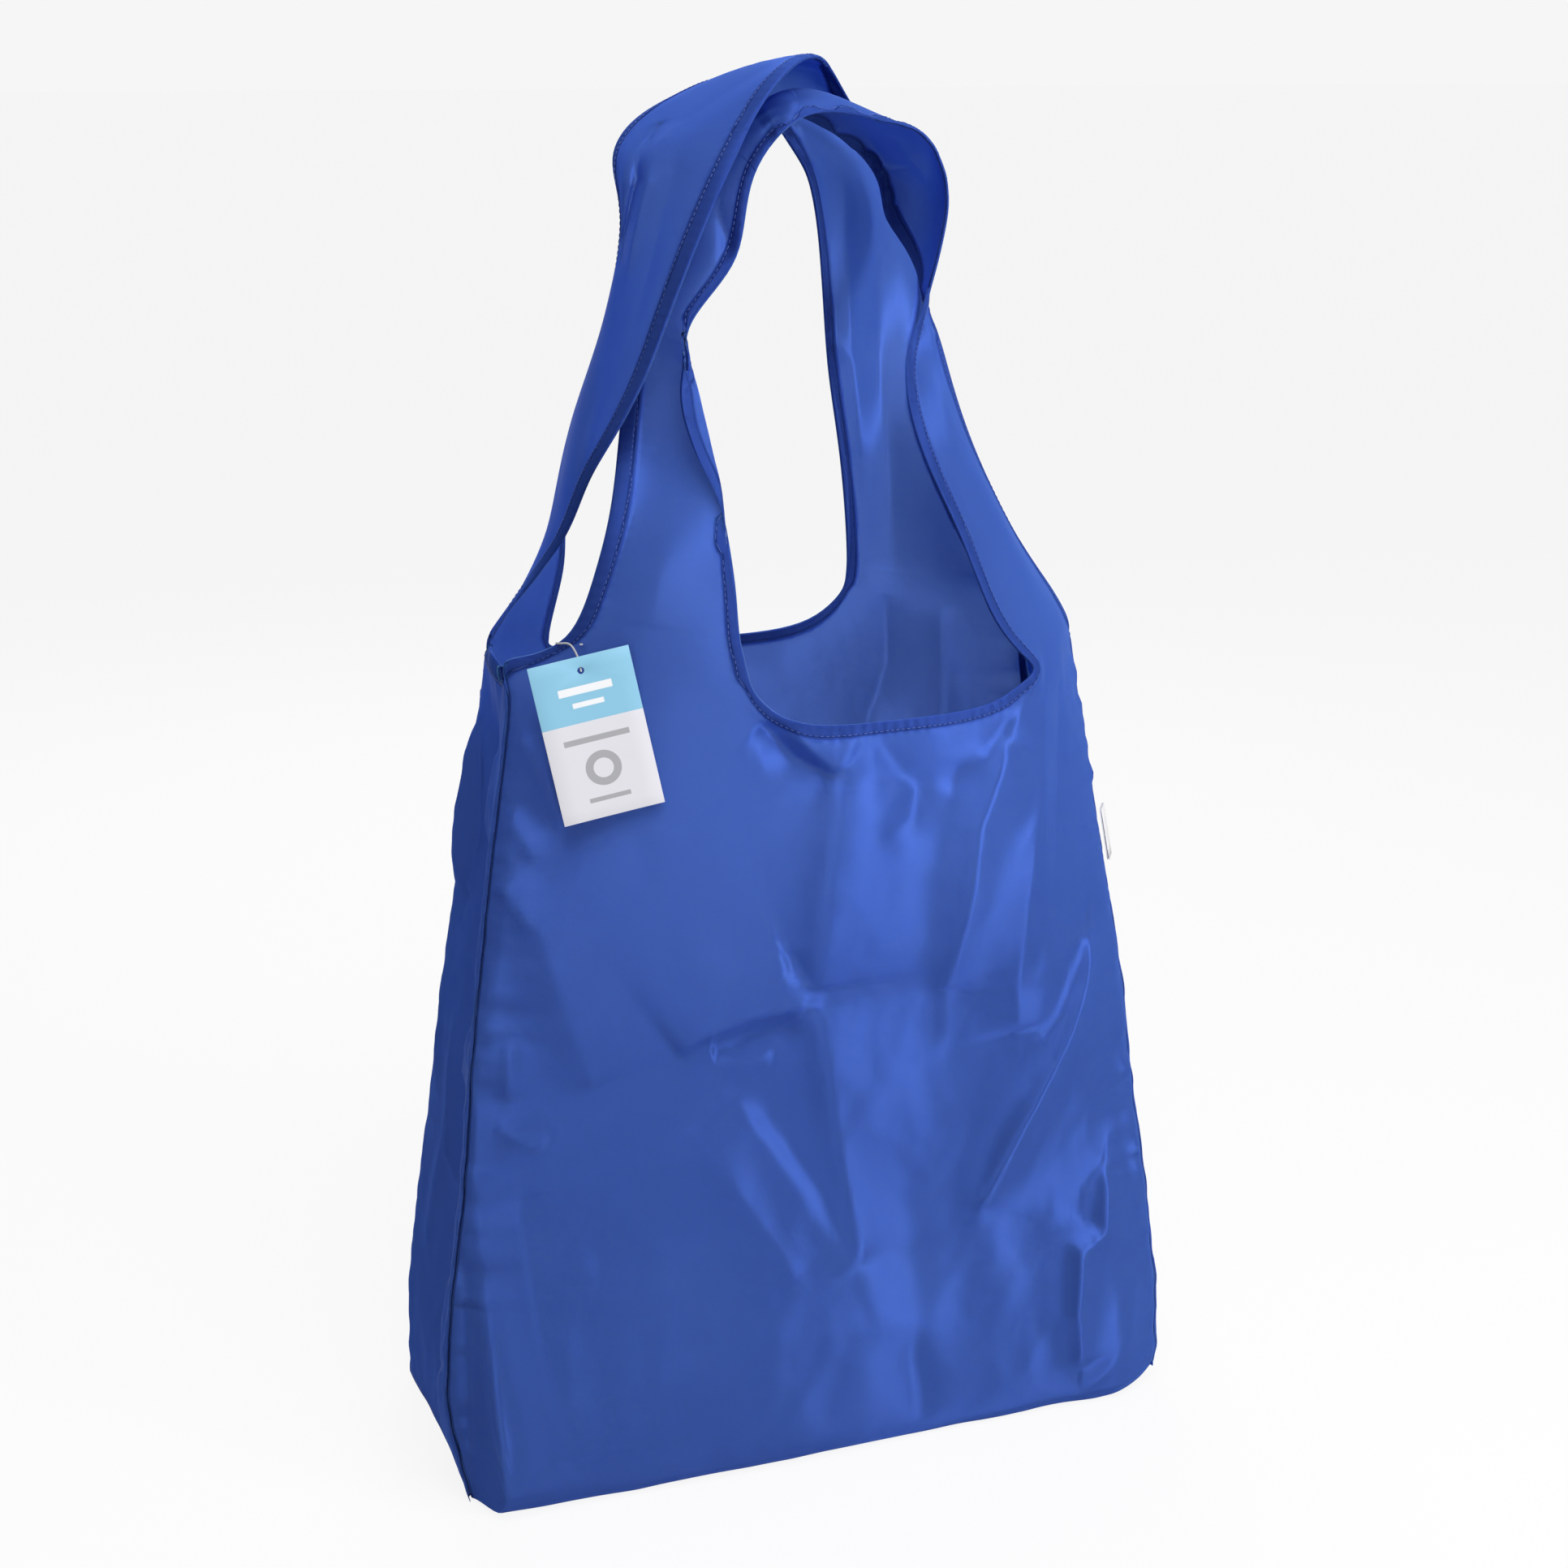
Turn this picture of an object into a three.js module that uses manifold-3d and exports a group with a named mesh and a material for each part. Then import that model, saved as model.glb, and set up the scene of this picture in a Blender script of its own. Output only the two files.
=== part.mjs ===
// A foldable shopping bag of thin woven cloth, standing open with both handles gathered above it.
// The front and the back panel each run from the seam under the base, up the body and into one
// looped handle, so each panel is a single ring of cloth round its half of the mouth. Pleated
// gussets close the two sides, a card tag hangs from the front left hem, and a folded label is
// sewn into the right side seam.
//
// Millimetres, +Z up, the front facing -Y, the origin under the middle of the base.
import * as THREE from 'three';
import { mergeVertices } from 'three/addons/utils/BufferGeometryUtils.js';
import Module from 'manifold-3d';

const wasm = await Module();
wasm.setup();

// Cloth, hems and seams
const CLOTH = 0.8;
const HEM_WIDTH = 5;
const HEM_THICKNESS = 1.5;
const SEAM_GAP = 0.3;

// Body
const BASE_WIDTH = 380;
const BASE_DEPTH = 143;
const BODY_HEIGHT = 417;
const SHOULDER_WIDTH = 296;
const SHOULDER_DEPTH = 70;
const MOUTH_BULGE = 71;
const MOUTH_HEIGHT = 391;
const MOUTH_CORNER = 24;
const MOUTH_SQUARENESS = 6;
const ARMHOLE_DIP = 11;
const GUSSET_PLEAT = 24;
const PLEAT_ROUNDNESS = 1.5;
const PANEL_LEAN = 6.5;
const PANEL_SKEW = 8.5;
const CREASE_DEPTH = 5;
const CREASE_WIDTH = 17;

// Handles
const HANDLE_RISE = 288;
const HANDLE_SPREAD = 100;
const STRAP_WIDTH = 72;
const SHOULDER_RUN = 30;

// Card tag and its plastic loop
const TAG_WIDTH = 48;
const TAG_LENGTH = 75.5;
const TAG_THICKNESS = 0.6;
const TAG_HOLE = 3.2;
const TAG_HOLE_INSET = 6.5;
const TAG_TURN = THREE.MathUtils.degToRad(-10);
const TAG_TILT = THREE.MathUtils.degToRad(11.5);
const TAG_LEAN = THREE.MathUtils.degToRad(-6);
const TAG_SHIFT = 2;
const TAG_DROP = 8.5;
const TAG_CLEAR = 2;
const LOOP_DIAMETER = 1;
const LOOP_STITCH = 8;
const LOOP_STATION = 0.9;

// Sewn label
const LABEL_HEIGHT = 27;
const LABEL_WIDTH = 16;
const LABEL_THICKNESS = 1.2;
const LABEL_LEAF = 0.4;
const LABEL_MIDDLE = 305;
const LABEL_TURN = THREE.MathUtils.degToRad(60);

// How the body changes from the base, at share 0 of its height, to the armholes, at share 1: the
// share of the taper to the shoulder width and depth, of the mouth's bulge and of the pleat in the
// gussets, and of how far each panel lies to its own left and turns its left seam forward.
const BODY_SECTIONS = [
  { height: 0, taper: 0, draw: 0, bulge: 0, pleat: 0.1, lean: 0, skew: 0 },
  { height: 0.127, taper: -0.15, draw: 0.08, bulge: 0.12, pleat: 0.5, lean: 0.77, skew: 0.29 },
  { height: 0.39, taper: 0.15, draw: 0.19, bulge: 0.22, pleat: 0.5, lean: 0.92, skew: 0.53 },
  { height: 0.585, taper: 0.38, draw: 0.32, bulge: 0.34, pleat: 0.45, lean: 1, skew: 0.59 },
  { height: 0.78, taper: 0.67, draw: 0.58, bulge: 0.6, pleat: 0.35, lean: 0.92, skew: 0.76 },
  { height: 1, taper: 1, draw: 1, bulge: 1, pleat: 0.2, lean: 0.38, skew: 1 },
];

// Each panel's mouth: its ends as shares across the panel, and how far each corner stands up as a
// share of the mouth's corner height. The mouth lies off the panel's middle, and the fuller side of
// the body is the one it lies to.
const FRONT_MOUTH = { ends: [-0.34, 0.67], corners: [1, 0.65] };
const BACK_MOUTH = { ends: [-0.46, 0.7], corners: [1, 0.3] };
const SOFT_ROUNDNESS = 2.2;
const FULL_ROUNDNESS = 4;

// Long soft creases in each panel, as lines on it: share across its half base and share of its
// height, and how far they stand out of the cloth and how wide they are.
const CREASES = [
  { from: [0.1, 0.89], to: [-0.02, 0.63], depth: 0.8, width: 0.95 },
  { from: [-0.02, 0.63], to: [-0.33, 0.57], depth: -1, width: 1.05 },
  { from: [-0.16, 0.48], to: [0.18, 0.29], depth: -1, width: 1.2 },
  { from: [0.67, 0.63], to: [0.48, 0.36], depth: 1, width: 0.75 },
  { from: [0.35, 0.6], to: [0.48, 0.79], depth: -0.8, width: 1 },
];

// Sections of the two handles, from the panel's left shoulder over the top to its right one, in the
// panel's own view. Each is an arc through the outer hem, the middle of the strap and the mouth hem:
// across and depth in hundredths of the handles' spread, and the share of their rise. Where the
// middle lies outside the two hems the strap is folded along its length, and where the hems change
// sides it turns over.
const FRONT_HANDLE = [
  [[-127, -60, 0.09], [-95, -84, 0.095], [-56, -98, 0.1]],
  [[-115, -66, 0.2], [-88, -86, 0.2], [-56, -92, 0.185]],
  [[-106, -62, 0.3], [-70, -80, 0.29], [-61, -88, 0.28]],
  [[-96, -42, 0.4], [-61, -66, 0.395], [-72, -76, 0.395]],
  [[-91, -36, 0.49], [-66, -54, 0.497], [-76, -63, 0.497]],
  [[-84, -24, 0.587], [-76, -42, 0.59], [-63, -48, 0.587]],
  [[-66, -12, 0.7], [-54, -34, 0.7], [-37, -44, 0.684]],
  [[-46, 2, 0.83], [-40, -26, 0.85], [-29, -38, 0.8125]],
  [[6, 18, 0.91], [2, -14, 0.958], [-2, -36, 0.91]],
  [[50, 34, 0.84], [50, 4, 0.897], [42, -22, 0.892]],
  [[68, 46, 0.78], [76, 18, 0.845], [70, -10, 0.868]],
  [[74, 54, 0.72], [90, 30, 0.76], [86, 0, 0.774]],
  [[82, 46, 0.67], [90, 28, 0.68], [84, 5, 0.68]],
  [[86, 24, 0.587], [84, 14, 0.587], [77, 4, 0.587]],
  [[90, 10, 0.48], [78, -2, 0.49], [61, -6, 0.5]],
  [[98, 0, 0.36], [84, -20, 0.36], [61, -26, 0.36]],
  [[114, -13, 0.21], [102, -40, 0.21], [72, -56, 0.215]],
  [[129, -20, 0.125], [114, -54, 0.1], [80, -80, 0.08]],
];
const BACK_HANDLE = [
  [[-132, -44, 0.085], [-106, -78, 0.085], [-71, -95, 0.08]],
  [[-108, -62, 0.29], [-88, -78, 0.29], [-61, -80, 0.288]],
  [[-103, -74, 0.46], [-76, -70, 0.46], [-48, -65, 0.458]],
  [[-108, -80, 0.64], [-74, -66, 0.64], [-39, -50, 0.64]],
  [[-96, -72, 0.78], [-62, -58, 0.79], [-28, -37, 0.792]],
  [[-52, -38, 0.9], [-38, -40, 0.9], [-18, -38, 0.847]],
  [[-22, 4, 0.979], [-16, -14, 0.983], [-2, -34, 0.91]],
  [[-5, 30, 0.997], [3, 8, 1], [22, -24, 0.958]],
  [[14, 50, 0.979], [28, 20, 0.972], [50, -12, 0.932]],
  [[33, 65, 0.924], [58, 42, 0.9], [73, -4, 0.895]],
  [[48, 76, 0.854], [80, 54, 0.84], [87, 8, 0.84]],
  [[66, 82, 0.743], [87, 51, 0.743], [84, 18, 0.75]],
  [[80, 78, 0.62], [95, 39, 0.62], [86, 8, 0.62]],
  [[92, 70, 0.5], [103, 28, 0.5], [90, -14, 0.5]],
  [[103, 60, 0.413], [108, 12, 0.413], [93, -34, 0.413]],
  [[109, 36, 0.33], [112, -2, 0.33], [94, -50, 0.33]],
  [[112, 6, 0.222], [113, -24, 0.222], [93, -70, 0.222]],
  [[124, -26, 0.118], [116, -54, 0.118], [89, -88, 0.105]],
];

// Fineness of the cloth's grid
const STRAP_COLUMNS = 7;
const MOUTH_COLUMNS = 9;
const GUSSET_COLUMNS = 6;
const BASE_ROWS = 3;
const BODY_ROWS = 20;
const HANDLE_ROWS = 2;
const HOLE_SEGMENTS = 10;
const FOLD_SEGMENTS = 6;
const LOOP_SEGMENTS = 48;
const LOOP_SIDES = 8;

const bodyShape = new THREE.CubicInterpolant(
  BODY_SECTIONS.map((section) => section.height),
  BODY_SECTIONS.flatMap(({ height, ...shape }) => Object.values(shape)),
  Object.keys(BODY_SECTIONS[0]).length - 1,
);

// Half width, half depth, bulge, pleat, lean and skew of the body at a height
function section(height) {
  const [taper, draw, bulge, pleat, lean, skew] = bodyShape.evaluate(height / BODY_HEIGHT);
  return {
    half: THREE.MathUtils.lerp(BASE_WIDTH / 2, SHOULDER_WIDTH / 2, taper),
    depth: THREE.MathUtils.lerp(BASE_DEPTH / 2, SHOULDER_DEPTH / 2, draw),
    bulge: MOUTH_BULGE * bulge,
    pleat: GUSSET_PLEAT * pleat,
    lean: -PANEL_LEAN * lean,
    skew: PANEL_SKEW * skew,
  };
}

// How far the creases stand out of a panel
function creased(across, height) {
  const place = new THREE.Vector3(across, height, 0);
  const onPanel = ([x, z]) => new THREE.Vector3((x * BASE_WIDTH) / 2, z * BODY_HEIGHT, 0);
  let out = 0;
  for (const { from, to, depth, width } of CREASES) {
    const line = new THREE.Line3(onPanel(from), onPanel(to));
    const nearest = line.closestPointToPoint(place, true, new THREE.Vector3());
    out += depth * Math.exp(-((nearest.distanceTo(place) / (width * CREASE_WIDTH)) ** 2));
  }
  return CREASE_DEPTH * out;
}

// A point of a panel's body in its own view, at a share across from -1 to 1
function bodyPoint(across, height) {
  const { half, depth, bulge, lean, skew } = section(height);
  const edge = 1 - (SEAM_GAP + CLOTH) / half;
  const fullness = 1 - Math.abs(across) ** (across < 0 ? SOFT_ROUNDNESS : FULL_ROUNDNESS);
  const x = across * edge * half;
  const y = skew * across - depth - bulge * fullness - creased(x, height) * fullness;
  return new THREE.Vector3(x + lean, y, Math.max(height, CLOTH / 2));
}

// A point of the base, which a panel closes as far as the seam under its middle
function basePoint(across, share) {
  const { half, depth, pleat } = section(0);
  const end = half - pleat * (1 - share ** PLEAT_ROUNDNESS) - SEAM_GAP - CLOTH;
  const y = -THREE.MathUtils.lerp(SEAM_GAP / 2, depth, share);
  return new THREE.Vector3(across * end, y, CLOTH / 2);
}

// A point of a side gusset in its own view, from the back seam at -1 to the front seam at 1
function gussetPoint(turn, height) {
  const { half, depth, pleat, lean, skew } = section(height);
  const x = -half + pleat * (1 - Math.abs(turn) ** PLEAT_ROUNDNESS);
  return new THREE.Vector3(x + lean * turn, -turn * depth - skew, Math.max(height, CLOTH / 2));
}

// Shares from 0 to 1 with a hem's width at the ends that have one
function hemmedShares(count, width, hemStart, hemEnd) {
  const first = hemStart ? HEM_WIDTH / width : 0;
  const last = hemEnd ? 1 - HEM_WIDTH / width : 1;
  const inner = count - (hemStart ? 1 : 0) - (hemEnd ? 1 : 0);
  const shares = Array.from({ length: inner + 1 }, (_, i) => first + ((last - first) * i) / inner);
  return [...(hemStart ? [0] : []), ...shares, ...(hemEnd ? [1] : [])];
}

// A sheet of cloth: points on its middle surface, its thickness at each, and the quads between
class Sheet {
  points = [];
  thickness = [];
  quads = [];

  add(point, thickness = CLOTH) {
    this.thickness.push(thickness);
    return this.points.push(point) - 1;
  }

  patch(grid) {
    for (let i = 0; i + 1 < grid.length; i += 1) {
      for (let j = 0; j + 1 < grid[i].length; j += 1) {
        this.quads.push([grid[i][j], grid[i + 1][j], grid[i + 1][j + 1], grid[i][j + 1]]);
      }
    }
  }

  // The closed body of the cloth: an outer skin, an inner one, and a rim along every free edge
  solid() {
    const count = this.points.length;
    const normals = this.points.map(() => new THREE.Vector3());
    const rim = new Map();
    const index = [];
    for (const quad of this.quads) {
      const [a, b, c, d] = quad.map((i) => this.points[i]);
      const normal = new THREE.Vector3().crossVectors(c.clone().sub(a), d.clone().sub(b));
      quad.forEach((i) => normals[i].add(normal));
      index.push(quad[0], quad[1], quad[2], quad[0], quad[2], quad[3]);
      const [p, q, r, s] = quad.map((i) => i + count);
      index.push(p, r, q, p, s, r);
      quad.forEach((from, i) => {
        const to = quad[(i + 1) % 4];
        if (!rim.delete(`${to},${from}`)) rim.set(`${from},${to}`, [from, to]);
      });
    }
    for (const [from, to] of rim.values()) {
      index.push(to, from, from + count, to, from + count, to + count);
    }
    const position = [1, -1].flatMap((way) => this.points.flatMap((point, i) => {
      const offset = normals[i].clone().setLength((way * this.thickness[i]) / 2);
      return point.clone().add(offset).toArray();
    }));
    const geometry = new THREE.BufferGeometry();
    geometry.setAttribute('position', new THREE.Float32BufferAttribute(position, 3));
    geometry.setIndex(index);
    return geometry;
  }
}

const SHARES_ACROSS_STRAP = hemmedShares(STRAP_COLUMNS, STRAP_WIDTH, true, true);

// A strap's foot on one side of a panel, at a share across it from its seam to the mouth
function strapFoot({ ends, corners }, way, share) {
  const side = way < 0 ? 0 : 1;
  return {
    across: THREE.MathUtils.lerp(way, ends[side], share),
    top: THREE.MathUtils.lerp(BODY_HEIGHT, MOUTH_HEIGHT + MOUTH_CORNER * corners[side], share),
  };
}

// Where a strap leaves the body, at a share across it from the outer hem to the mouth hem
function shoulder(panel, way, share, below) {
  const { across, top } = strapFoot(panel.mouth, way, share);
  return bodyPoint(across, top - below);
}

// The run of a handle at a share across it, from below one shoulder over the top to the other
function handleCurve(panel, share) {
  const arc = (station) => station.map(([x, y, rise]) => new THREE.Vector3(
    (x / 100) * HANDLE_SPREAD,
    (y / 100) * HANDLE_SPREAD,
    BODY_HEIGHT - ARMHOLE_DIP + rise * HANDLE_RISE,
  ));
  const across = ([outer, middle, mouth]) => outer.multiplyScalar((1 - share) * (1 - 2 * share))
    .addScaledVector(middle, 4 * share * (1 - share))
    .addScaledVector(mouth, share * (2 * share - 1));
  return new THREE.CatmullRomCurve3([
    shoulder(panel, -1, share, SHOULDER_RUN),
    shoulder(panel, -1, share, 0),
    ...panel.handle.map((station) => across(arc(station))),
    shoulder(panel, 1, share, 0),
    shoulder(panel, 1, share, SHOULDER_RUN),
  ]);
}

// A point of a handle, counted in stations from the left shoulder
function handlePoint(panel, share, station) {
  return handleCurve(panel, share).getPoint((station + 1) / (panel.handle.length + 3));
}

// The columns of a panel from its left edge to its right: place across, top and place in the strap
function panelColumns(mouth) {
  const strap = (way) => SHARES_ACROSS_STRAP.map((share) => ({
    ...strapFoot(mouth, way, share),
    share,
  }));
  const between = Array.from({ length: MOUTH_COLUMNS - 1 }, (_, i) => {
    const turn = Math.sin((Math.PI / 2) * ((2 * (i + 1)) / MOUTH_COLUMNS - 1));
    const corner = MOUTH_CORNER * mouth.corners[turn < 0 ? 0 : 1];
    return {
      across: THREE.MathUtils.lerp(...mouth.ends, (turn + 1) / 2),
      top: MOUTH_HEIGHT + corner * Math.abs(turn) ** MOUTH_SQUARENESS,
    };
  });
  return [...strap(-1), ...between, ...strap(1).reverse()];
}

// Front or back panel, with its half of the base and its handle
function panelCloth(panel) {
  const sheet = new Sheet();
  const columns = panelColumns(panel.mouth);
  const heights = hemmedShares(BODY_ROWS, BODY_HEIGHT, false, true);
  const body = columns.map(({ across, top, share }) => {
    const base = Array.from({ length: BASE_ROWS }, (_, j) =>
      sheet.add(basePoint(across, j / BASE_ROWS)));
    const wall = heights.map((rise, j) => {
      const hemmed = share === undefined && j > heights.length - 3;
      return sheet.add(bodyPoint(across, top * rise), hemmed ? HEM_THICKNESS : CLOTH);
    });
    return [...base, ...wall];
  });
  sheet.patch(body);

  const rows = HANDLE_ROWS * (panel.handle.length + 1);
  const strap = SHARES_ACROSS_STRAP.map((share, i) => {
    const hemmed = i < 2 || i > STRAP_COLUMNS - 2;
    const run = Array.from({ length: rows - 1 }, (_, k) => sheet.add(
      handlePoint(panel, share, (k + 1) / HANDLE_ROWS),
      hemmed ? HEM_THICKNESS : CLOTH,
    ));
    return [body[i].at(-1), ...run, body[columns.length - 1 - i].at(-1)];
  });
  sheet.patch(strap);
  return sheet.solid();
}

// Pleated side gusset with its hemmed armhole
function gussetCloth() {
  const sheet = new Sheet();
  const heights = hemmedShares(BODY_ROWS, BODY_HEIGHT, false, true);
  const grid = Array.from({ length: GUSSET_COLUMNS + 1 }, (_, i) => {
    const turn = (2 * i) / GUSSET_COLUMNS - 1;
    const top = BODY_HEIGHT - ARMHOLE_DIP * (1 - turn ** 2);
    return heights.map((rise, j) => sheet.add(
      gussetPoint(turn, top * rise),
      j > heights.length - 3 ? HEM_THICKNESS : CLOTH,
    ));
  });
  sheet.patch(grid);
  return sheet.solid();
}

// Card tag with its punched hole at the origin, in its own plane
function tagCard() {
  const outline = new THREE.Shape();
  const top = TAG_HOLE_INSET;
  outline.moveTo(-TAG_WIDTH / 2, top - TAG_LENGTH);
  outline.lineTo(TAG_WIDTH / 2, top - TAG_LENGTH);
  outline.lineTo(TAG_WIDTH / 2, top);
  outline.lineTo(-TAG_WIDTH / 2, top);
  outline.closePath();
  outline.holes.push(new THREE.Path().absarc(0, 0, TAG_HOLE / 2, 0, 2 * Math.PI, true));
  const card = new THREE.ExtrudeGeometry(outline, {
    depth: TAG_THICKNESS,
    bevelEnabled: false,
    curveSegments: HOLE_SEGMENTS,
  });
  return card.translate(0, 0, -TAG_THICKNESS / 2);
}

// Folded label: a hairpin of ribbon, its ends at the seam
function foldedLabel() {
  const outside = LABEL_THICKNESS / 2;
  const inside = outside - LABEL_LEAF;
  const profile = new THREE.Shape();
  profile.moveTo(0, -outside);
  profile.lineTo(LABEL_WIDTH - outside, -outside);
  profile.absarc(LABEL_WIDTH - outside, 0, outside, -Math.PI / 2, Math.PI / 2, false);
  profile.lineTo(0, outside);
  profile.lineTo(0, inside);
  profile.lineTo(LABEL_WIDTH - outside, inside);
  profile.absarc(LABEL_WIDTH - outside, 0, inside, Math.PI / 2, -Math.PI / 2, true);
  profile.lineTo(0, -inside);
  profile.closePath();
  const label = new THREE.ExtrudeGeometry(profile, {
    depth: LABEL_HEIGHT,
    bevelEnabled: false,
    curveSegments: FOLD_SEGMENTS,
  });
  return label.translate(0, 0, -LABEL_HEIGHT / 2);
}

// Closed solid for cutting, and back to a geometry
function toSolid(geometry) {
  const bare = geometry.clone();
  bare.deleteAttribute('normal');
  bare.deleteAttribute('uv');
  const merged = mergeVertices(bare);
  return new wasm.Manifold(new wasm.Mesh({
    numProp: 3,
    vertProperties: new Float32Array(merged.getAttribute('position').array),
    triVerts: new Uint32Array(merged.getIndex().array),
  }));
}

function toGeometry(solid) {
  const mesh = solid.getMesh();
  const geometry = new THREE.BufferGeometry();
  geometry.setAttribute('position', new THREE.Float32BufferAttribute(mesh.vertProperties, 3));
  geometry.setIndex([...mesh.triVerts]);
  return geometry;
}

const FRONT = { mouth: FRONT_MOUTH, handle: FRONT_HANDLE };
const BACK = { mouth: BACK_MOUTH, handle: BACK_HANDLE };

// Where the tag's loop passes the front left hem: round its edge and through a stitch hole beside it
const hemEdge = handlePoint(FRONT, 0, LOOP_STATION);
const stitch = handlePoint(FRONT, LOOP_STITCH / STRAP_WIDTH, LOOP_STATION);
const hemRun = handlePoint(FRONT, 0, LOOP_STATION * 1.1).sub(hemEdge).normalize();
const intoCloth = stitch.clone().sub(hemEdge).normalize();
const outOfCloth = new THREE.Vector3().crossVectors(intoCloth, hemRun).normalize();

// How the card is turned, and where its hole hangs: below the hem, with every corner of the card
// clear of the panel behind it
const cardTurn = new THREE.Quaternion()
  .setFromEuler(new THREE.Euler(Math.PI / 2 + TAG_LEAN, 0, TAG_TURN, 'ZXY'))
  .multiply(new THREE.Quaternion().setFromAxisAngle(new THREE.Vector3(0, 0, 1), TAG_TILT));
const tagFacing = new THREE.Vector3(0, 0, 1).applyQuaternion(cardTurn);
const tagHole = hemEdge.clone().add(new THREE.Vector3(TAG_SHIFT, 0, -TAG_DROP));
tagHole.y += panelGap(tagHole) - TAG_CLEAR;

// The least gap in depth between the card's corners and the panel, with its hole at a place
function panelGap(hole) {
  const ends = [TAG_HOLE_INSET, TAG_HOLE_INSET - TAG_LENGTH];
  const corners = [-TAG_WIDTH / 2, TAG_WIDTH / 2].flatMap((x) => ends.map((y) => [x, y, 0]));
  return Math.min(...corners.map((corner) => {
    const place = new THREE.Vector3(...corner).applyQuaternion(cardTurn).add(hole);
    const { half, lean } = section(place.z);
    return bodyPoint((place.x - lean) / half, place.z).y - place.y;
  }));
}

// The stitch hole in the front panel that the loop passes through
function stitchHole() {
  const depth = 4 * HEM_THICKNESS;
  const drill = new THREE.CylinderGeometry(LOOP_DIAMETER, LOOP_DIAMETER, depth, LOOP_SIDES);
  const axis = new THREE.Vector3(0, 1, 0);
  drill.applyQuaternion(new THREE.Quaternion().setFromUnitVectors(axis, outOfCloth));
  return drill.translate(...stitch.toArray());
}

// Thin plastic loop: from the tag's face, through its hole, up behind the card, over the hem and
// back through the cloth
function tagLoop() {
  const clear = HEM_THICKNESS / 2 + LOOP_DIAMETER + SEAM_GAP;
  const cardClear = TAG_THICKNESS / 2 + LOOP_DIAMETER + SEAM_GAP;
  const up = new THREE.Vector3(0, 0, 1);
  const by = (start, ...moves) => moves.reduce(
    (place, [way, far]) => place.addScaledVector(way, far),
    start.clone(),
  );
  const route = new THREE.CatmullRomCurve3([
    by(tagHole, [tagFacing, cardClear]),
    tagHole,
    by(tagHole, [tagFacing, -2 * cardClear], [up, TAG_HOLE_INSET / 2]),
    by(hemEdge, [outOfCloth, 2 * clear], [intoCloth, HEM_WIDTH]),
    by(hemEdge, [outOfCloth, 1.5 * clear], [intoCloth, -clear / 2]),
    by(hemEdge, [intoCloth, -2 * clear]),
    by(hemEdge, [outOfCloth, -2 * clear], [intoCloth, clear]),
    by(stitch, [outOfCloth, -2 * clear]),
    stitch,
    by(stitch, [outOfCloth, clear]),
  ]);
  const round = new THREE.Shape().absarc(0, 0, LOOP_DIAMETER / 2, 0, 2 * Math.PI, false);
  return new THREE.ExtrudeGeometry(round, {
    steps: LOOP_SEGMENTS,
    extrudePath: route,
    curveSegments: LOOP_SIDES / 2,
    bevelEnabled: false,
  });
}

const cloth = new THREE.MeshStandardMaterial({
  color: 0x2f4fa8,
  roughness: 0.55,
  metalness: 0,
  side: THREE.DoubleSide,
});
const card = new THREE.MeshStandardMaterial({ color: 0xd9d8de, roughness: 0.6, metalness: 0 });
const plastic = new THREE.MeshStandardMaterial({ color: 0xc9c8c4, roughness: 0.35, metalness: 0 });
const ribbon = new THREE.MeshStandardMaterial({ color: 0xeeeeef, roughness: 0.8, metalness: 0 });

const bag = new THREE.Group();

function addPart(parent, name, geometry, material) {
  const mesh = new THREE.Mesh(geometry, material);
  mesh.name = name;
  parent.add(mesh);
  return mesh;
}

const back = new THREE.Group();
back.rotation.z = Math.PI;
bag.add(back);

const frontCloth = toSolid(panelCloth(FRONT)).subtract(toSolid(stitchHole()));
addPart(bag, 'front_panel', toGeometry(frontCloth), cloth);
addPart(back, 'back_panel', panelCloth(BACK), cloth);
addPart(bag, 'left_gusset', gussetCloth(), cloth);
addPart(back, 'right_gusset', gussetCloth(), cloth);

const tag = addPart(bag, 'hang_tag', tagCard(), card);
tag.quaternion.copy(cardTurn);
tag.position.copy(tagHole);
addPart(bag, 'tag_loop', tagLoop(), plastic);

// The label stands along the slope of the seam it is sewn into
const seamAt = (height) => {
  const { half, depth, lean, skew } = section(height);
  return new THREE.Vector3(half + lean, skew - depth, height);
};
const labelTop = seamAt(LABEL_MIDDLE + LABEL_HEIGHT / 2);
const labelUp = labelTop.sub(seamAt(LABEL_MIDDLE - LABEL_HEIGHT / 2)).normalize();
const labelOut = new THREE.Vector3(Math.cos(LABEL_TURN), Math.sin(LABEL_TURN), 0);
const labelFace = new THREE.Vector3().crossVectors(labelUp, labelOut).normalize();
labelOut.crossVectors(labelFace, labelUp);
const labelClear = CLOTH / 2 + SEAM_GAP + (LABEL_THICKNESS / 2) * Math.sin(LABEL_TURN);
const label = addPart(bag, 'side_label', foldedLabel(), ribbon);
label.quaternion.setFromRotationMatrix(new THREE.Matrix4().makeBasis(labelOut, labelFace, labelUp));
label.position.copy(seamAt(LABEL_MIDDLE)).add(new THREE.Vector3(labelClear, 0, 0));

export default bag;
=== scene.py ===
"""Foldable shopping bag: sewn cloth, hems and stitches, card tag, plastic loop and side label."""
import heapq
import math

import bmesh
import bpy
import numpy as np
from mathutils import Matrix, Vector, noise


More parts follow.
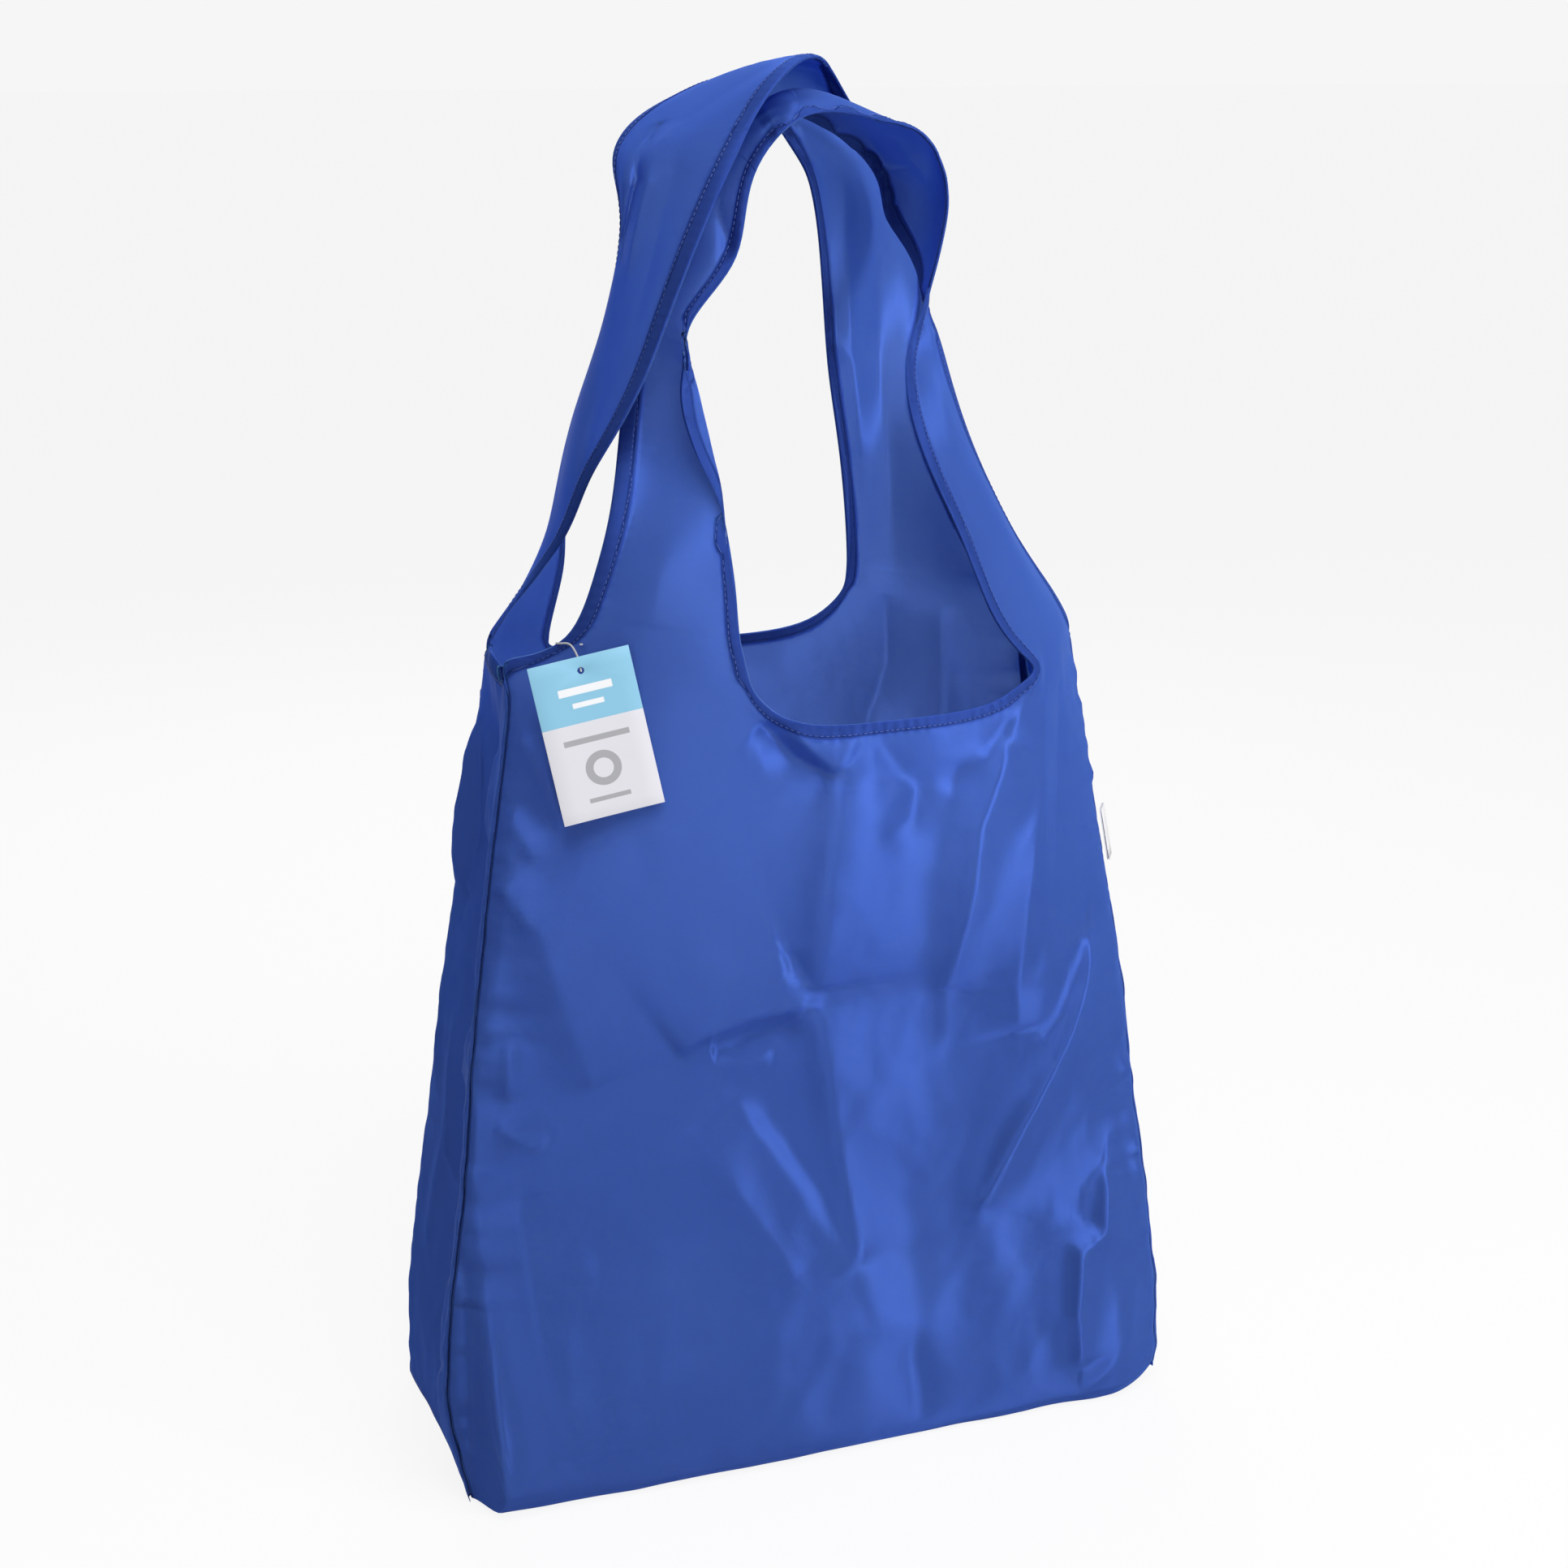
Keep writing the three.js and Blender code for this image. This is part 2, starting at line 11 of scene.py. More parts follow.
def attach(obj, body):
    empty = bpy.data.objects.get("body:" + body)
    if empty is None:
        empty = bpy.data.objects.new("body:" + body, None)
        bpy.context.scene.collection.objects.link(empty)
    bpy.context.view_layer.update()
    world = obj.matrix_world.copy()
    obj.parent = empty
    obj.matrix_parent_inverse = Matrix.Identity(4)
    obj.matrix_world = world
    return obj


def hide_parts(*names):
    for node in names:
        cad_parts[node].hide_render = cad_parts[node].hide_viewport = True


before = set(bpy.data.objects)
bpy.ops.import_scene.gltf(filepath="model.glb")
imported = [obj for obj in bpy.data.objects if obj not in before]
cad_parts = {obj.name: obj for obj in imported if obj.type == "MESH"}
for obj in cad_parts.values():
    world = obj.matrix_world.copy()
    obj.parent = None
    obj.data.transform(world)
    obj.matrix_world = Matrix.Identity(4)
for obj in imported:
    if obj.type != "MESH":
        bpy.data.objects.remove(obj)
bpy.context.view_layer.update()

MM = 0.001
scene = bpy.context.scene

# Camera
LENS = 61.49
SENSOR = 36
CAMERA_AT = (-0.4415, -1.2426, 0.7000)
CAMERA_TURN = 19.589
CAMERA_DOWN = 15.486
FRONTWARD = (-0.34, -0.94, 0)

# Light
SKY_LIGHT = 0.2
SKY_WHITE = 0.92
FLOOR_WHITE = 0.88
FLOOR_SPAN = 80
FLOOR_GREY = 0.5
FLOOR_GREY_SEEN = 0.9
LAMP_TARGET = (0, 0, 0.35)

# Lamps: name, place, size and watts
LAMPS = [
    ("top_lamp", (-0.1, -1.0, 1.65), 1.2, 20),
    ("side_lamp", (1.195, -1.474, 0.695), 0.6, 20),
    ("back_lamp", (0.2, 1.4, 1.3), 1.2, 10),
]

# Cloth
RIM_LIMIT = 1.65 * MM
CLOTH_THICKNESS = 0.4 * MM
HEM_THICKNESS = 1.6 * MM
HEM_WIDTH = 6 * MM
SIDE_HEM_WIDTH = 9 * MM
HEM_RISE = 0.8 * MM
EDGE_REACH = 45 * MM
SEAM_ALLOWANCE = 7 * MM
SEAM_PINCH = 1.8 * MM
STITCH_LINE = 5 * MM
STITCH_PITCH = 2.8 * MM
STITCH_LENGTH = 2.1 * MM
STITCH_WIDTH = 0.42 * MM
SEAM_TOP = 0.4165
GUSSET_TOP = 0.395
MOUTH_LOW = 0.3
FOLD_CREASE = 0.35
FOLD_SHARPNESS = 1.2
BASE_EDGE = 71 * MM
BASE_END = 190 * MM
WALL_FOOT = 2 * MM
WALL_TOP = 0.425
THREAD_PITCH = 0.75 * MM

# Foot of the bag
BELLY_REACH = 26 * MM
BELLY_HEIGHT = 90 * MM
BELLY_LEFT = 11 * MM
BELLY_RIGHT = 40 * MM
FOOT_TUCK = 10 * MM
CORNER_REACH = 24 * MM
RIGHT_CORNER_LIFT = 5
LEFT_CORNER_LIFT = 0.5
EDGE_WAVE = 2.2

# Unevenness of the cloth: heights in millimetres, and scales per metre with their stretch
BROAD_RIPPLE = (11, 1.5)
FINE_RIPPLE = (45, 2.2)
FINE_HEIGHT = 0.6
COARSE_CRUSH = (24, 1.5)
FINE_CRUSH = (52, 1.3)
CRUSH_SHARE = 0.6
STRAP_RIPPLE = (40, 6)
STRAP_HEIGHT = 1.6
PUCKER_REACH = 14 * MM
PUCKER_SHARE = 1.1
PINCH_REACH = 2.2 * MM

# Cuts of cloth before sewing
PANEL_CUT = (0.42, 0.84)
PANEL_AREA = 0.235
GUSSET_CUT = (0.16, 0.425)

# Colours, as linear light
ROYAL_BLUE = (0.052, 0.110, 0.45, 1)
DEEP_BLUE = (0.044, 0.095, 0.40, 1)
HEM_BLUE = (0.022, 0.052, 0.24, 1)
SEAM_BLUE = (0.008, 0.022, 0.12, 1)
THREAD_BLUE = (0.022, 0.060, 0.31, 1)
TAG_BLUE = (0.22, 0.50, 0.68, 1)
TAG_PALE = (0.68, 0.67, 0.72, 1)
TAG_GREY = (0.35, 0.35, 0.37, 1)
TAG_WHITE = (0.82, 0.83, 0.85, 1)
LOOP_GREY = (0.62, 0.61, 0.58, 1)
RIBBON_WHITE = (0.80, 0.80, 0.81, 1)

# Folds of the front panel in millimetres across and up, each listed from its lower or left end, with
# its rise out of the cloth and the widths of its left and right flanks on the way along it.
FRONT_FOLDS = [
    ([(-9, 368), (-31, 389)], 6, 5, 18),
    ([(-11, 366), (-28, 374), (-46, 394)], -9, 13, 6),
    ([(-16, 255), (-15, 310), (-8, 364)], 11, 18, 62),
    ([(-84, 230), (-72, 238), (-49, 245), (-24, 247), (-15, 252)], 9, 34, 8),
    ([(-66, 229), (-22, 235)], -5, 10, 9),
    ([(-62, 219), (-34, 222)], 3, 6, 6),
    ([(-18, 255), (-29, 279)], -2.5, 4, 5),
    ([(10, 104), (-2, 176), (-13, 245)], 8, 13, 40),
    ([(5, 99), (-26, 157), (-54, 200)], 3.2, 17, 17),
    ([(-25, 104), (-45, 136), (-76, 190)], 3.6, 16, 15),
    ([(8, 112), (-12, 150), (-40, 192)], -1.6, 12, 12),
    ([(55, 245), (57, 268), (62, 334), (80, 372)], 9, 9, 38),
    ([(98, 217), (95, 240), (95, 286), (100, 342), (104, 392)], 9, 40, 26),
    ([(78, 124), (98, 168), (124, 213), (134, 236), (139, 262)], 10, 8, 24),
    ([(135, 26), (131, 57), (134, 91), (149, 99), (152, 130)], 8, 7, 22),
    ([(139, 9), (167, 35), (173, 62)], 2, 16, 10),
    ([(45, 12), (37, 58)], -2, 7, 12),
    ([(-188, 4), (-150, 32)], 4, 14, 18),
    ([(14, 334), (29, 340), (33, 354), (10, 383)], -2.4, 9, 9),
    ([(52, 351), (56, 366)], -1.8, 7, 7),
    ([(70, 366), (82, 386)], -1.6, 8, 8),
    ([(-124, 216), (-140, 270), (-160, 338)], 5, 20, 40),
    ([(-146, 25), (-156, 86), (-164, 160)], 5, 16, 40),
    ([(-135, 345), (-139, 362), (-150, 388)], 4, 6, 9),
    ([(-146, 330), (-158, 352)], 3.5, 6, 8),
    ([(-150, 296), (-164, 318)], 3.5, 6, 9),
    ([(-163, 240), (-165, 212)], 3, 6, 6),
    ([(-148, 186), (-172, 200)], 3, 8, 10),
    ([(-178, 12), (-182, 60), (-184, 118)], 3, 4, 7),
    ([(112, 300), (116, 340), (122, 392)], -2, 12, 14),
    ([(-96, 60), (-30, 74), (40, 66)], 2.5, 26, 30),
]

# The same for the back panel, seen from behind.
BACK_FOLDS = [
    ([(-30, 250), (-24, 310), (-2, 372)], 7, 12, 30),
    ([(-96, 214), (-70, 226), (-30, 232)], 8, 30, 9),
    ([(22, 96), (4, 160), (-22, 228)], 8, 12, 34),
    ([(-6, 102), (-40, 168), (-66, 200)], 5, 9, 9),
    ([(66, 232), (70, 300), (84, 366)], 7, 10, 28),
    ([(88, 110), (108, 170), (134, 236)], 9, 9, 24),
    ([(126, 22), (128, 70), (146, 120)], 6, 8, 20),
    ([(-140, 40), (-152, 120), (-150, 210)], 5, 14, 36),
    ([(-110, 300), (-122, 350), (-118, 404)], -6, 10, 14),
    ([(-60, 40), (-20, 62), (40, 60)], 3, 18, 22),
    ([(-78, 330), (-92, 372), (-90, 410)], 5, 9, 12),
    ([(20, 300), (28, 360)], -4, 9, 12),
]

# Folds of a gusset, in millimetres from back to front and up.
GUSSET_FOLDS = [
    ([(-6, 20), (2, 140), (-4, 260), (4, 380)], -5, 18, 18),
    ([(-34, 286), (-32, 330), (-28, 372)], 8, 24, 24),
    ([(28, 40), (38, 110)], 5, 8, 10),
    ([(10, 196), (34, 214), (48, 240)], 5, 8, 10),
    ([(6, 262), (24, 292), (38, 300)], -5, 9, 9),
    ([(-40, 90), (-24, 160), (-30, 220)], 4, 10, 12),
    ([(8, 322), (22, 344), (30, 372)], 4.5, 7, 9),
    ([(-34, 270), (-16, 318), (-20, 370)], -3, 8, 9),
    ([(30, 10), (52, 30), (62, 70)], 4, 8, 9),
    ([(34, 130), (42, 160), (46, 196)], -3.5, 6, 8),
]

# Folds of the handles, as places along each in millimetres, how far it stands towards the front and
# its half width.
FRONT_STRAP_FOLDS = [
    ([(-45, -34, 628), (-43, -40, 615), (-40, -44, 603)], -4, 5),
    ([(48, 20, 658), (61, 31, 646), (70, 37, 637)], -7, 6),
    ([(70, 37, 637), (69, 45, 630), (73, 52, 615)], -4, 6),
    ([(58, 14, 662), (76, 26, 648), (84, 24, 632)], 3, 7),
    ([(-94, -84, 440), (-90, -86, 470), (-86, -84, 500)], 2.5, 16),
    ([(-112, -70, 450), (-104, -72, 480), (-98, -66, 505)], -2, 9),
    ([(92, -30, 470), (84, -20, 500), (80, -8, 530)], 2, 9),
]
BACK_STRAP_FOLDS = [
    ([(-66, -33, 664), (-73, -40, 657), (-83, -52, 639), (-89, -46, 611), (-91, -44, 598)], 6, 4),
    ([(-66, -20, 664), (-76, -31, 657), (-87, -44, 638), (-90, -33, 612), (-91, -34, 598)], -12, 6),
    ([(-59, -42, 665), (-75, -64, 643), (-84, -62, 612), (-94, -59, 569)], -3, 8),
    ([(52, 52, 633), (54, 55, 601), (61, 65, 550), (73, 80, 489)], 4, 9),
    ([(73, 64, 604), (75, 67, 575), (79, 70, 537), (90, 80, 470), (94, 92, 425)], -3.5, 12),
    ([(47, 60, 554), (60, 66, 542)], 2.5, 4),
    ([(98, 70, 590), (98, 70, 540), (104, 74, 490)], 2.5, 13),
    ([(52, 74, 520), (60, 84, 480), (66, 94, 440)], -3, 6),
]

# Small moves of all the cloth round a place, as the place, the move and the reach in millimetres.
NUDGES = [
    ((85.5, 21, 576), (-3, 0, 0), 16),
    ((102, 76, 571), (4, 0, 0), 26),
    ((-151, -43, 417), (-5, 0, 3.5), 11),
    ((-145, -8, 406), (-6, 0, 10), 20),
    ((-69, -57, 558), (3.4, 0, 0), 14),
    ((-67, -63, 545), (2.5, 0, 0), 14),
    ((-66, -72, 527), (2, 0, 0), 16),
    ((-65, -81, 506), (2.4, 0, 0), 14),
    ((-62, -85, 489), (2.5, 0, 0), 16),
    ((97, -85, 404), (5, 1.5, 0), 9),
    ((192, -71, 2), (-3, 0, 2.5), 9),
    ((192, -71, 1), (-0.5, 0, 1.6), 4),
]

# Where the front left handle's hem turns over and is pressed thin, in millimetres.
HEM_TURN = (-64, -85, 498)
HEM_TURN_REACH = 26

# Small moves of the upper corners of the gussets alone.
GUSSET_NUDGES = [
    ((-146, 26, 417), (2, -1, -4), 7),
    ((-151, -43, 417), (1, 1, -3), 7),
    ((146, -26, 417), (-2, 1, -4), 7),
    ((151, 43, 417), (-1, -1, -3), 7),
]


class Value:
    """A socket of a node, so that Python's operators add Math nodes."""

    def __init__(self, tree, socket):
        self.tree = tree
        self.socket = socket

    def maths(self, operation, *others):
        sockets = dict(enumerate([self, *others]))
        return self.tree.add("Math", {"operation": operation}, sockets)

    def __add__(self, other):
        return self.maths("ADD", other)

    __radd__ = __add__

    def __mul__(self, other):
        return self.maths("MULTIPLY", other)

    __rmul__ = __mul__

    def __sub__(self, other):
        return self.maths("SUBTRACT", other)

    def __rsub__(self, other):
        return self * -1 + other

    def __gt__(self, other):
        return self.maths("GREATER_THAN", other)

    def __abs__(self):
        return self.maths("ABSOLUTE")

    def sine(self):
        return self.maths("SINE")

    def larger(self, other):
        return self.maths("MAXIMUM", other)

    def band(self, middle, half, soft):
        """1 within half of the middle, fading to 0 over a soft width."""
        span = {"Value": abs(self - middle), "From Min": half, "From Max": half + soft}
        fade = self.tree.add("MapRange", {"interpolation_type": "SMOOTHSTEP"}, span)
        return 1 - fade


class Nodes:
    """A node tree that is built up by adding nodes."""

    def __init__(self, tree):
        self.nodes = tree.nodes
        self.links = tree.links

    def add(self, kind, settings, sockets, output=0):
        node = self.nodes.new("ShaderNode" + kind)
        for name, value in settings.items():
            setattr(node, name, value)
        self.feed(node, sockets)
        return Value(self, node.outputs[output])

    def seen_rays(self):
        """1 where the camera sees a surface, also by reflection or through something clear."""
        camera_ray, glossy_ray, clear_ray = (self.add("LightPath", {}, {}, output=i) for i in (0, 3, 6))
        return camera_ray.larger(glossy_ray).larger(clear_ray)

    def feed(self, node, sockets):
        for name, value in sockets.items():
            if isinstance(value, Value):
                self.links.new(value.socket, node.inputs[name])
            else:
                node.inputs[name].default_value = value


class Finish(Nodes):
    """A material: constants on its shader's own sockets, and nodes for what varies over a piece."""

    def __init__(self, name, constants):
        self.material = bpy.data.materials.new(name)
        self.material.use_nodes = True
        super().__init__(self.material.node_tree)
        self.shader = self.nodes["Principled BSDF"]
        self.feed(self.shader, constants)

    def vary(self, sockets):
        self.feed(self.shader, sockets)

    def mix(self, share, first, second):
        sockets = {0: share, 6: first, 7: second}
        return self.add("Mix", {"data_type": "RGBA"}, sockets, output=2)

    def bump(self, height, distance, strength=1.0):
        sockets = {"Height": height, "Distance": distance, "Strength": strength}
        return self.add("Bump", {}, sockets)

    def cloud(self, place, scale, detail=3):
        sockets = {"Vector": place, "Scale": scale, "Detail": detail}
        return self.add("TexNoise", {}, sockets)

    def attribute(self, name):
        return self.add("Attribute", {"attribute_name": name}, {}, output=2)

    def object_place(self):
        return self.add("TexCoord", {}, {}, output=3)

    def flat_place(self):
        flat = self.add("UVMap", {"uv_map": "flat"}, {})
        return flat, *(self.add("SeparateXYZ", {}, {0: flat}, output=i) for i in range(2))


def woven_cloth():
    """Thin plain-weave cloth with a soft satin sheen, a little darker and rougher at its hems."""
    finish = Finish("woven_cloth", {
        "Metallic": 0.3,
        "Specular IOR Level": 0,
        "Specular Tint": (0.45, 0.55, 1, 1),
        "Anisotropic": 0.97,
        "Anisotropic Rotation": 0.25,
        "Subsurface Weight": 1,
        "Subsurface Radius": (0.5, 0.62, 1),
        "Subsurface Scale": 4 * MM,
    })
    flat, across, up = finish.flat_place()
    thread = 2 * math.pi / THREAD_PITCH
    weave = (across * thread).sine() * (up * thread).sine()
    hem = finish.attribute("hem")
    hem_mask = hem.band(0, HEM_WIDTH, 0.4 * MM)
    stitch_mask = hem.band(STITCH_LINE, 0.15 * MM, 0.5 * MM)
    seam = finish.attribute("seam")
    seam_mask = seam.band(0, 0.5 * MM, 1.3 * MM)
    gather_place = finish.add("CombineXYZ", {}, {0: finish.attribute("seam_run"), 1: seam * 0.3})
    gather = finish.cloud(gather_place, 130, 0) * seam.band(0, 3 * MM, 14 * MM)
    run = finish.attribute("run")
    pucker = (run * (2 * math.pi / (2 * STITCH_PITCH))).sine() * hem.band(0, HEM_WIDTH, 3 * MM)
    cloud = finish.cloud(flat, 9)
    crumple = finish.cloud(flat, 160, 5)
    tint = finish.mix(cloud.band(0.5, 0.02, 0.3), ROYAL_BLUE, DEEP_BLUE)
    tint = finish.mix(hem_mask * 0.75, tint, HEM_BLUE)
    tint = finish.mix((stitch_mask * 0.55).larger(seam_mask * 0.5), tint, SEAM_BLUE)
    height = weave * 0.03 + crumple * 0.35 + pucker * 0.2 + gather * 4 - stitch_mask * 0.7
    finish.vary({
        "Base Color": tint,
        "Roughness": 0.42 + hem_mask * 0.08 + cloud * 0.06,
        "Normal": finish.bump(height, 0.5 * MM, 0.5),
    })
    return finish.material


def sewing_thread():
    finish = Finish("sewing_thread", {"Roughness": 0.6, "Sheen Weight": 0.2})
    place = finish.object_place()
    shade = finish.cloud(place, 700)
    finish.vary({
        "Base Color": finish.mix(shade, THREAD_BLUE, ROYAL_BLUE),
        "Normal": finish.bump(shade, 0.1 * MM),
    })
    return finish.material


def printed_card():
    """Card in two plain fields, with simple bars and a ring of no meaning."""
    finish = Finish("printed_card", {"Specular IOR Level": 0.35})
    flat, across, up = finish.flat_place()
    fibre = finish.cloud(flat, 900, 6)
    blue_field = up > 0.60
    bars = across.band(0.5, 0.26, 0.01) * up.band(0.80, 0.022, 0.004)
    bars = bars.larger(across.band(0.5, 0.15, 0.01) * up.band(0.71, 0.014, 0.004))
    side = (across - 0.5) * 0.62
    from_ring = (side * side + (up - 0.3) * (up - 0.3)).maths("SQRT")
    grey = from_ring.band(0.085, 0.022, 0.004)
    grey = grey.larger(across.band(0.5, 0.32, 0.008) * up.band(0.49, 0.016, 0.004))
    grey = grey.larger(across.band(0.5, 0.2, 0.008) * up.band(0.115, 0.012, 0.004))
    upper = finish.mix(bars, TAG_BLUE, TAG_WHITE)
    lower = finish.mix(grey, TAG_PALE, TAG_GREY)
    print_colour = finish.mix(blue_field, lower, upper)
    finish.vary({
        "Base Color": finish.mix(fibre * 0.08, print_colour, TAG_WHITE),
        "Roughness": 0.42 + fibre * 0.15,
        "Normal": finish.bump(fibre, 0.05 * MM, 0.4),
    })
    return finish.material


def clear_plastic():
    finish = Finish("loop_plastic", {"Specular IOR Level": 0.5, "Transmission Weight": 0.25})
    place = finish.object_place()
    haze = finish.cloud(place, 400)
    finish.vary({
        "Base Color": finish.mix(haze * 0.4, LOOP_GREY, TAG_WHITE),
        "Roughness": 0.25 + haze * 0.15,
    })
    return finish.material


def label_ribbon():
    """White satin ribbon with fine cross ribs."""
    finish = Finish("label_ribbon", {"Sheen Weight": 0.2})
    place = finish.object_place()
    height = finish.add("SeparateXYZ", {}, {0: place}, output=2)
    rib = (height * (2 * math.pi / (0.6 * MM))).sine()
    shade = finish.cloud(place, 120)
    finish.vary({
        "Base Color": finish.mix(shade * 0.3, RIBBON_WHITE, TAG_PALE),
        "Roughness": 0.5 + shade * 0.2,
        "Normal": finish.bump(rib, 0.06 * MM, 0.5),
    })
    return finish.material


def pick(obj):
    """Makes a piece the only selected one."""
    bpy.ops.object.select_all(action="DESELECT")
    bpy.context.view_layer.objects.active = obj
    obj.select_set(True)


def apply_modifier(obj, kind, settings):
    pick(obj)
    modifier = obj.modifiers.new(kind.lower(), kind)
    for name, value in settings.items():
        setattr(modifier, name, value)
    bpy.ops.object.modifier_apply(modifier=modifier.name)


def merged_copy(node, name):
    """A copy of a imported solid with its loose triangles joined."""
    piece = bpy.data.objects.new(name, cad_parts[node].data.copy())
    piece.data.materials.clear()
    scene.collection.objects.link(piece)
    shape = bmesh.new()
    shape.from_mesh(piece.data)
    bmesh.ops.remove_doubles(shape, verts=shape.verts[:], dist=0.001 * MM)
    shape.to_mesh(piece.data)
    shape.free()
    return piece


def islands(shape):
    """The separate skins of a mesh, as sets of faces."""
    unseen = set(shape.faces)
    while unseen:
        island = {unseen.pop()}
        waiting = list(island)
        while waiting:
            face = waiting.pop()
            found = {other for side in face.edges for other in side.link_faces} & unseen
            unseen -= found
            island |= found
            waiting.extend(found)
        yield island


def facing_out(island):
    """How far a skin faces away from the bag's middle, over the walls of the body."""
    total = 0
    for face in island:
        middle = face.calc_center_median()
        total += face.normal.dot(Vector((middle.x, middle.y, 0))) * face.calc_area()
    return total


def outer_skin(node, name):
    """The outer skin of a cloth solid, as one open sheet of quads."""
    piece = merged_copy(node, name)
    shape = bmesh.new()
    shape.from_mesh(piece.data)
    rim = [face for face in shape.faces if min(e.calc_length() for e in face.edges) < RIM_LIMIT]
    bmesh.ops.delete(shape, geom=rim, context="FACES")
    outer = max(islands(shape), key=facing_out)
    bmesh.ops.delete(shape, geom=[f for f in shape.faces if f not in outer], context="FACES")
    free = [edge for edge in shape.edges if edge.is_boundary]
    bmesh.ops.holes_fill(shape, edges=free, sides=14)
    bmesh.ops.join_triangles(
        shape,
        faces=shape.faces[:],
        angle_face_threshold=math.pi,
        angle_shape_threshold=math.pi,
        topology_influence=1.5,
    )
    shape.to_mesh(piece.data)
    shape.free()
    return piece


def mark_handle_seam(shape):
    """Marks the seam across the top of a handle, where its two straps are sewn end to end."""
    loose = [v for v in shape.verts if v.is_boundary and len(v.link_edges) == 3]
    start = max(loose, key=lambda v: v.co.z)
    edge = next(e for e in start.link_edges if not e.is_boundary)
    at = start
    while True:
        edge.seam = True
        at = edge.other_vert(at)
        if at.is_boundary:
            return
        beside = {e for face in edge.link_faces for e in face.edges}
        ahead = [e for e in at.link_edges if e not in beside]
        if not ahead:
            return
        edge = ahead[0]


def flatten(piece, has_handle):
    """Lays the sheet out flat as its pattern, in metres, for the weave to follow."""
    shape = bmesh.new()
    shape.from_mesh(piece.data)
    if has_handle:
        mark_handle_seam(shape)
    sewn = {vertex.index for edge in shape.edges if edge.seam for vertex in edge.verts}
    shape.to_mesh(piece.data)
    shape.free()
    near_sewing = np.zeros(len(piece.data.vertices))
    near_sewing[list(sewn)] = 1
    write_attribute(piece.data, "sewing", near_sewing)
    while piece.data.uv_layers:
        piece.data.uv_layers.remove(piece.data.uv_layers[0])
    piece.data.uv_layers.new(name="flat")
    pick(piece)
    bpy.ops.object.mode_set(mode="EDIT")
    bpy.ops.mesh.select_all(action="SELECT")
    bpy.ops.uv.unwrap(method="ANGLE_BASED", margin=0)
    bpy.ops.object.mode_set(mode="OBJECT")
    layer = piece.data.uv_layers["flat"].data
    flat = np.zeros(len(layer) * 2)
    layer.foreach_get("uv", flat)
    flat = flat.reshape(-1, 2)
    flat_area = 0
    real_area = 0
    for face in piece.data.polygons:
        corners = flat[list(face.loop_indices)]
        turned = np.roll(corners, -1, axis=0)
        flat_area += abs(np.sum(corners[:, 0] * turned[:, 1] - corners[:, 1] * turned[:, 0])) / 2
        real_area += face.area
    corners = np.zeros(len(piece.data.loops), int)
    piece.data.loops.foreach_get("vertex_index", corners)
    height = places(piece.data)[corners, 2]
    on_wall = (height > WALL_FOOT) & (height < GUSSET_TOP)
    known = np.column_stack([flat[on_wall], np.ones(on_wall.sum())])
    rise = np.linalg.lstsq(known, height[on_wall], rcond=None)[0][:2]
    sine, cosine = rise / np.linalg.norm(rise)
    upright = flat @ np.array([[cosine, sine], [-sine, cosine]])
    layer.foreach_set("uv", (upright * math.sqrt(real_area / flat_area)).ravel())


def refine(piece):
    """Rounds the sheet, keeps its bottom fold, and divides all above the base finely for folds."""
    shape = bmesh.new()
    shape.from_mesh(piece.data)
    crease = shape.edges.layers.float.get("crease_edge") or shape.edges.layers.float.new("crease_edge")
    for edge in shape.edges:
        low = max(v.co.z for v in edge.verts) < WALL_FOOT
        if low and len(edge.link_faces) == 2 and edge.calc_face_angle() > math.radians(40):
            edge[crease] = FOLD_CREASE
    shape.to_mesh(piece.data)
    shape.free()
    apply_modifier(piece, "SUBSURF", {
        "levels": 2,
        "render_levels": 2,
        "boundary_smooth": "PRESERVE_CORNERS",
    })
    shape = bmesh.new()
    shape.from_mesh(piece.data)
    walls = [f for f in shape.faces if f.calc_center_median().z > WALL_FOOT]
    sides = list({edge for face in walls for edge in face.edges})
    bmesh.ops.subdivide_edges(shape, edges=sides, cuts=1, use_grid_fill=True)
    shape.to_mesh(piece.data)
    shape.free()


def free_runs(mesh):
    """The free edges of a sheet, as closed rings of vertices."""
    uses = np.zeros(len(mesh.edges), int)
    loops = np.zeros(len(mesh.loops), int)
    mesh.loops.foreach_get("edge_index", loops)
    np.add.at(uses, loops, 1)
    beside = {}
    for edge in np.flatnonzero(uses == 1):
        a, b = mesh.edges[int(edge)].vertices
        beside.setdefault(a, []).append(b)
        beside.setdefault(b, []).append(a)
    rings = []
    while beside:
        at = next(iter(beside))
        ring = []
        while at in beside:
            ring.append(at)
            ahead = beside.pop(at)
            at = next((v for v in ahead if v in beside), at)
        rings.append(ring)
    return rings


def over_cloth(mesh, starts):
    """Distance over the cloth from a set of its vertices, and which of them lies nearest."""
    near = [[] for _ in mesh.vertices]
    for edge in mesh.edges:
        a, b = edge.vertices
        length = (mesh.vertices[a].co - mesh.vertices[b].co).length
        near[a].append((b, length))
        near[b].append((a, length))
    far = np.full(len(mesh.vertices), EDGE_REACH)
    nearest = np.full(len(mesh.vertices), -1)
    queue = [(0.0, start, start) for start in starts]
    while queue:
        distance, at, start = heapq.heappop(queue)
        if nearest[at] >= 0:
            continue
        far[at] = distance
        nearest[at] = start
        for other, length in near[at]:
            if nearest[other] < 0 and distance + length < EDGE_REACH:
                heapq.heappush(queue, (distance + length, other, start))
    return far, nearest


def places(mesh):
    flat = np.zeros(len(mesh.vertices) * 3)
    mesh.vertices.foreach_get("co", flat)
    return flat.reshape(-1, 3)


def directions(mesh):
    flat = np.zeros(len(mesh.vertices) * 3)
    mesh.vertices.foreach_get("normal", flat)
    return flat.reshape(-1, 3)


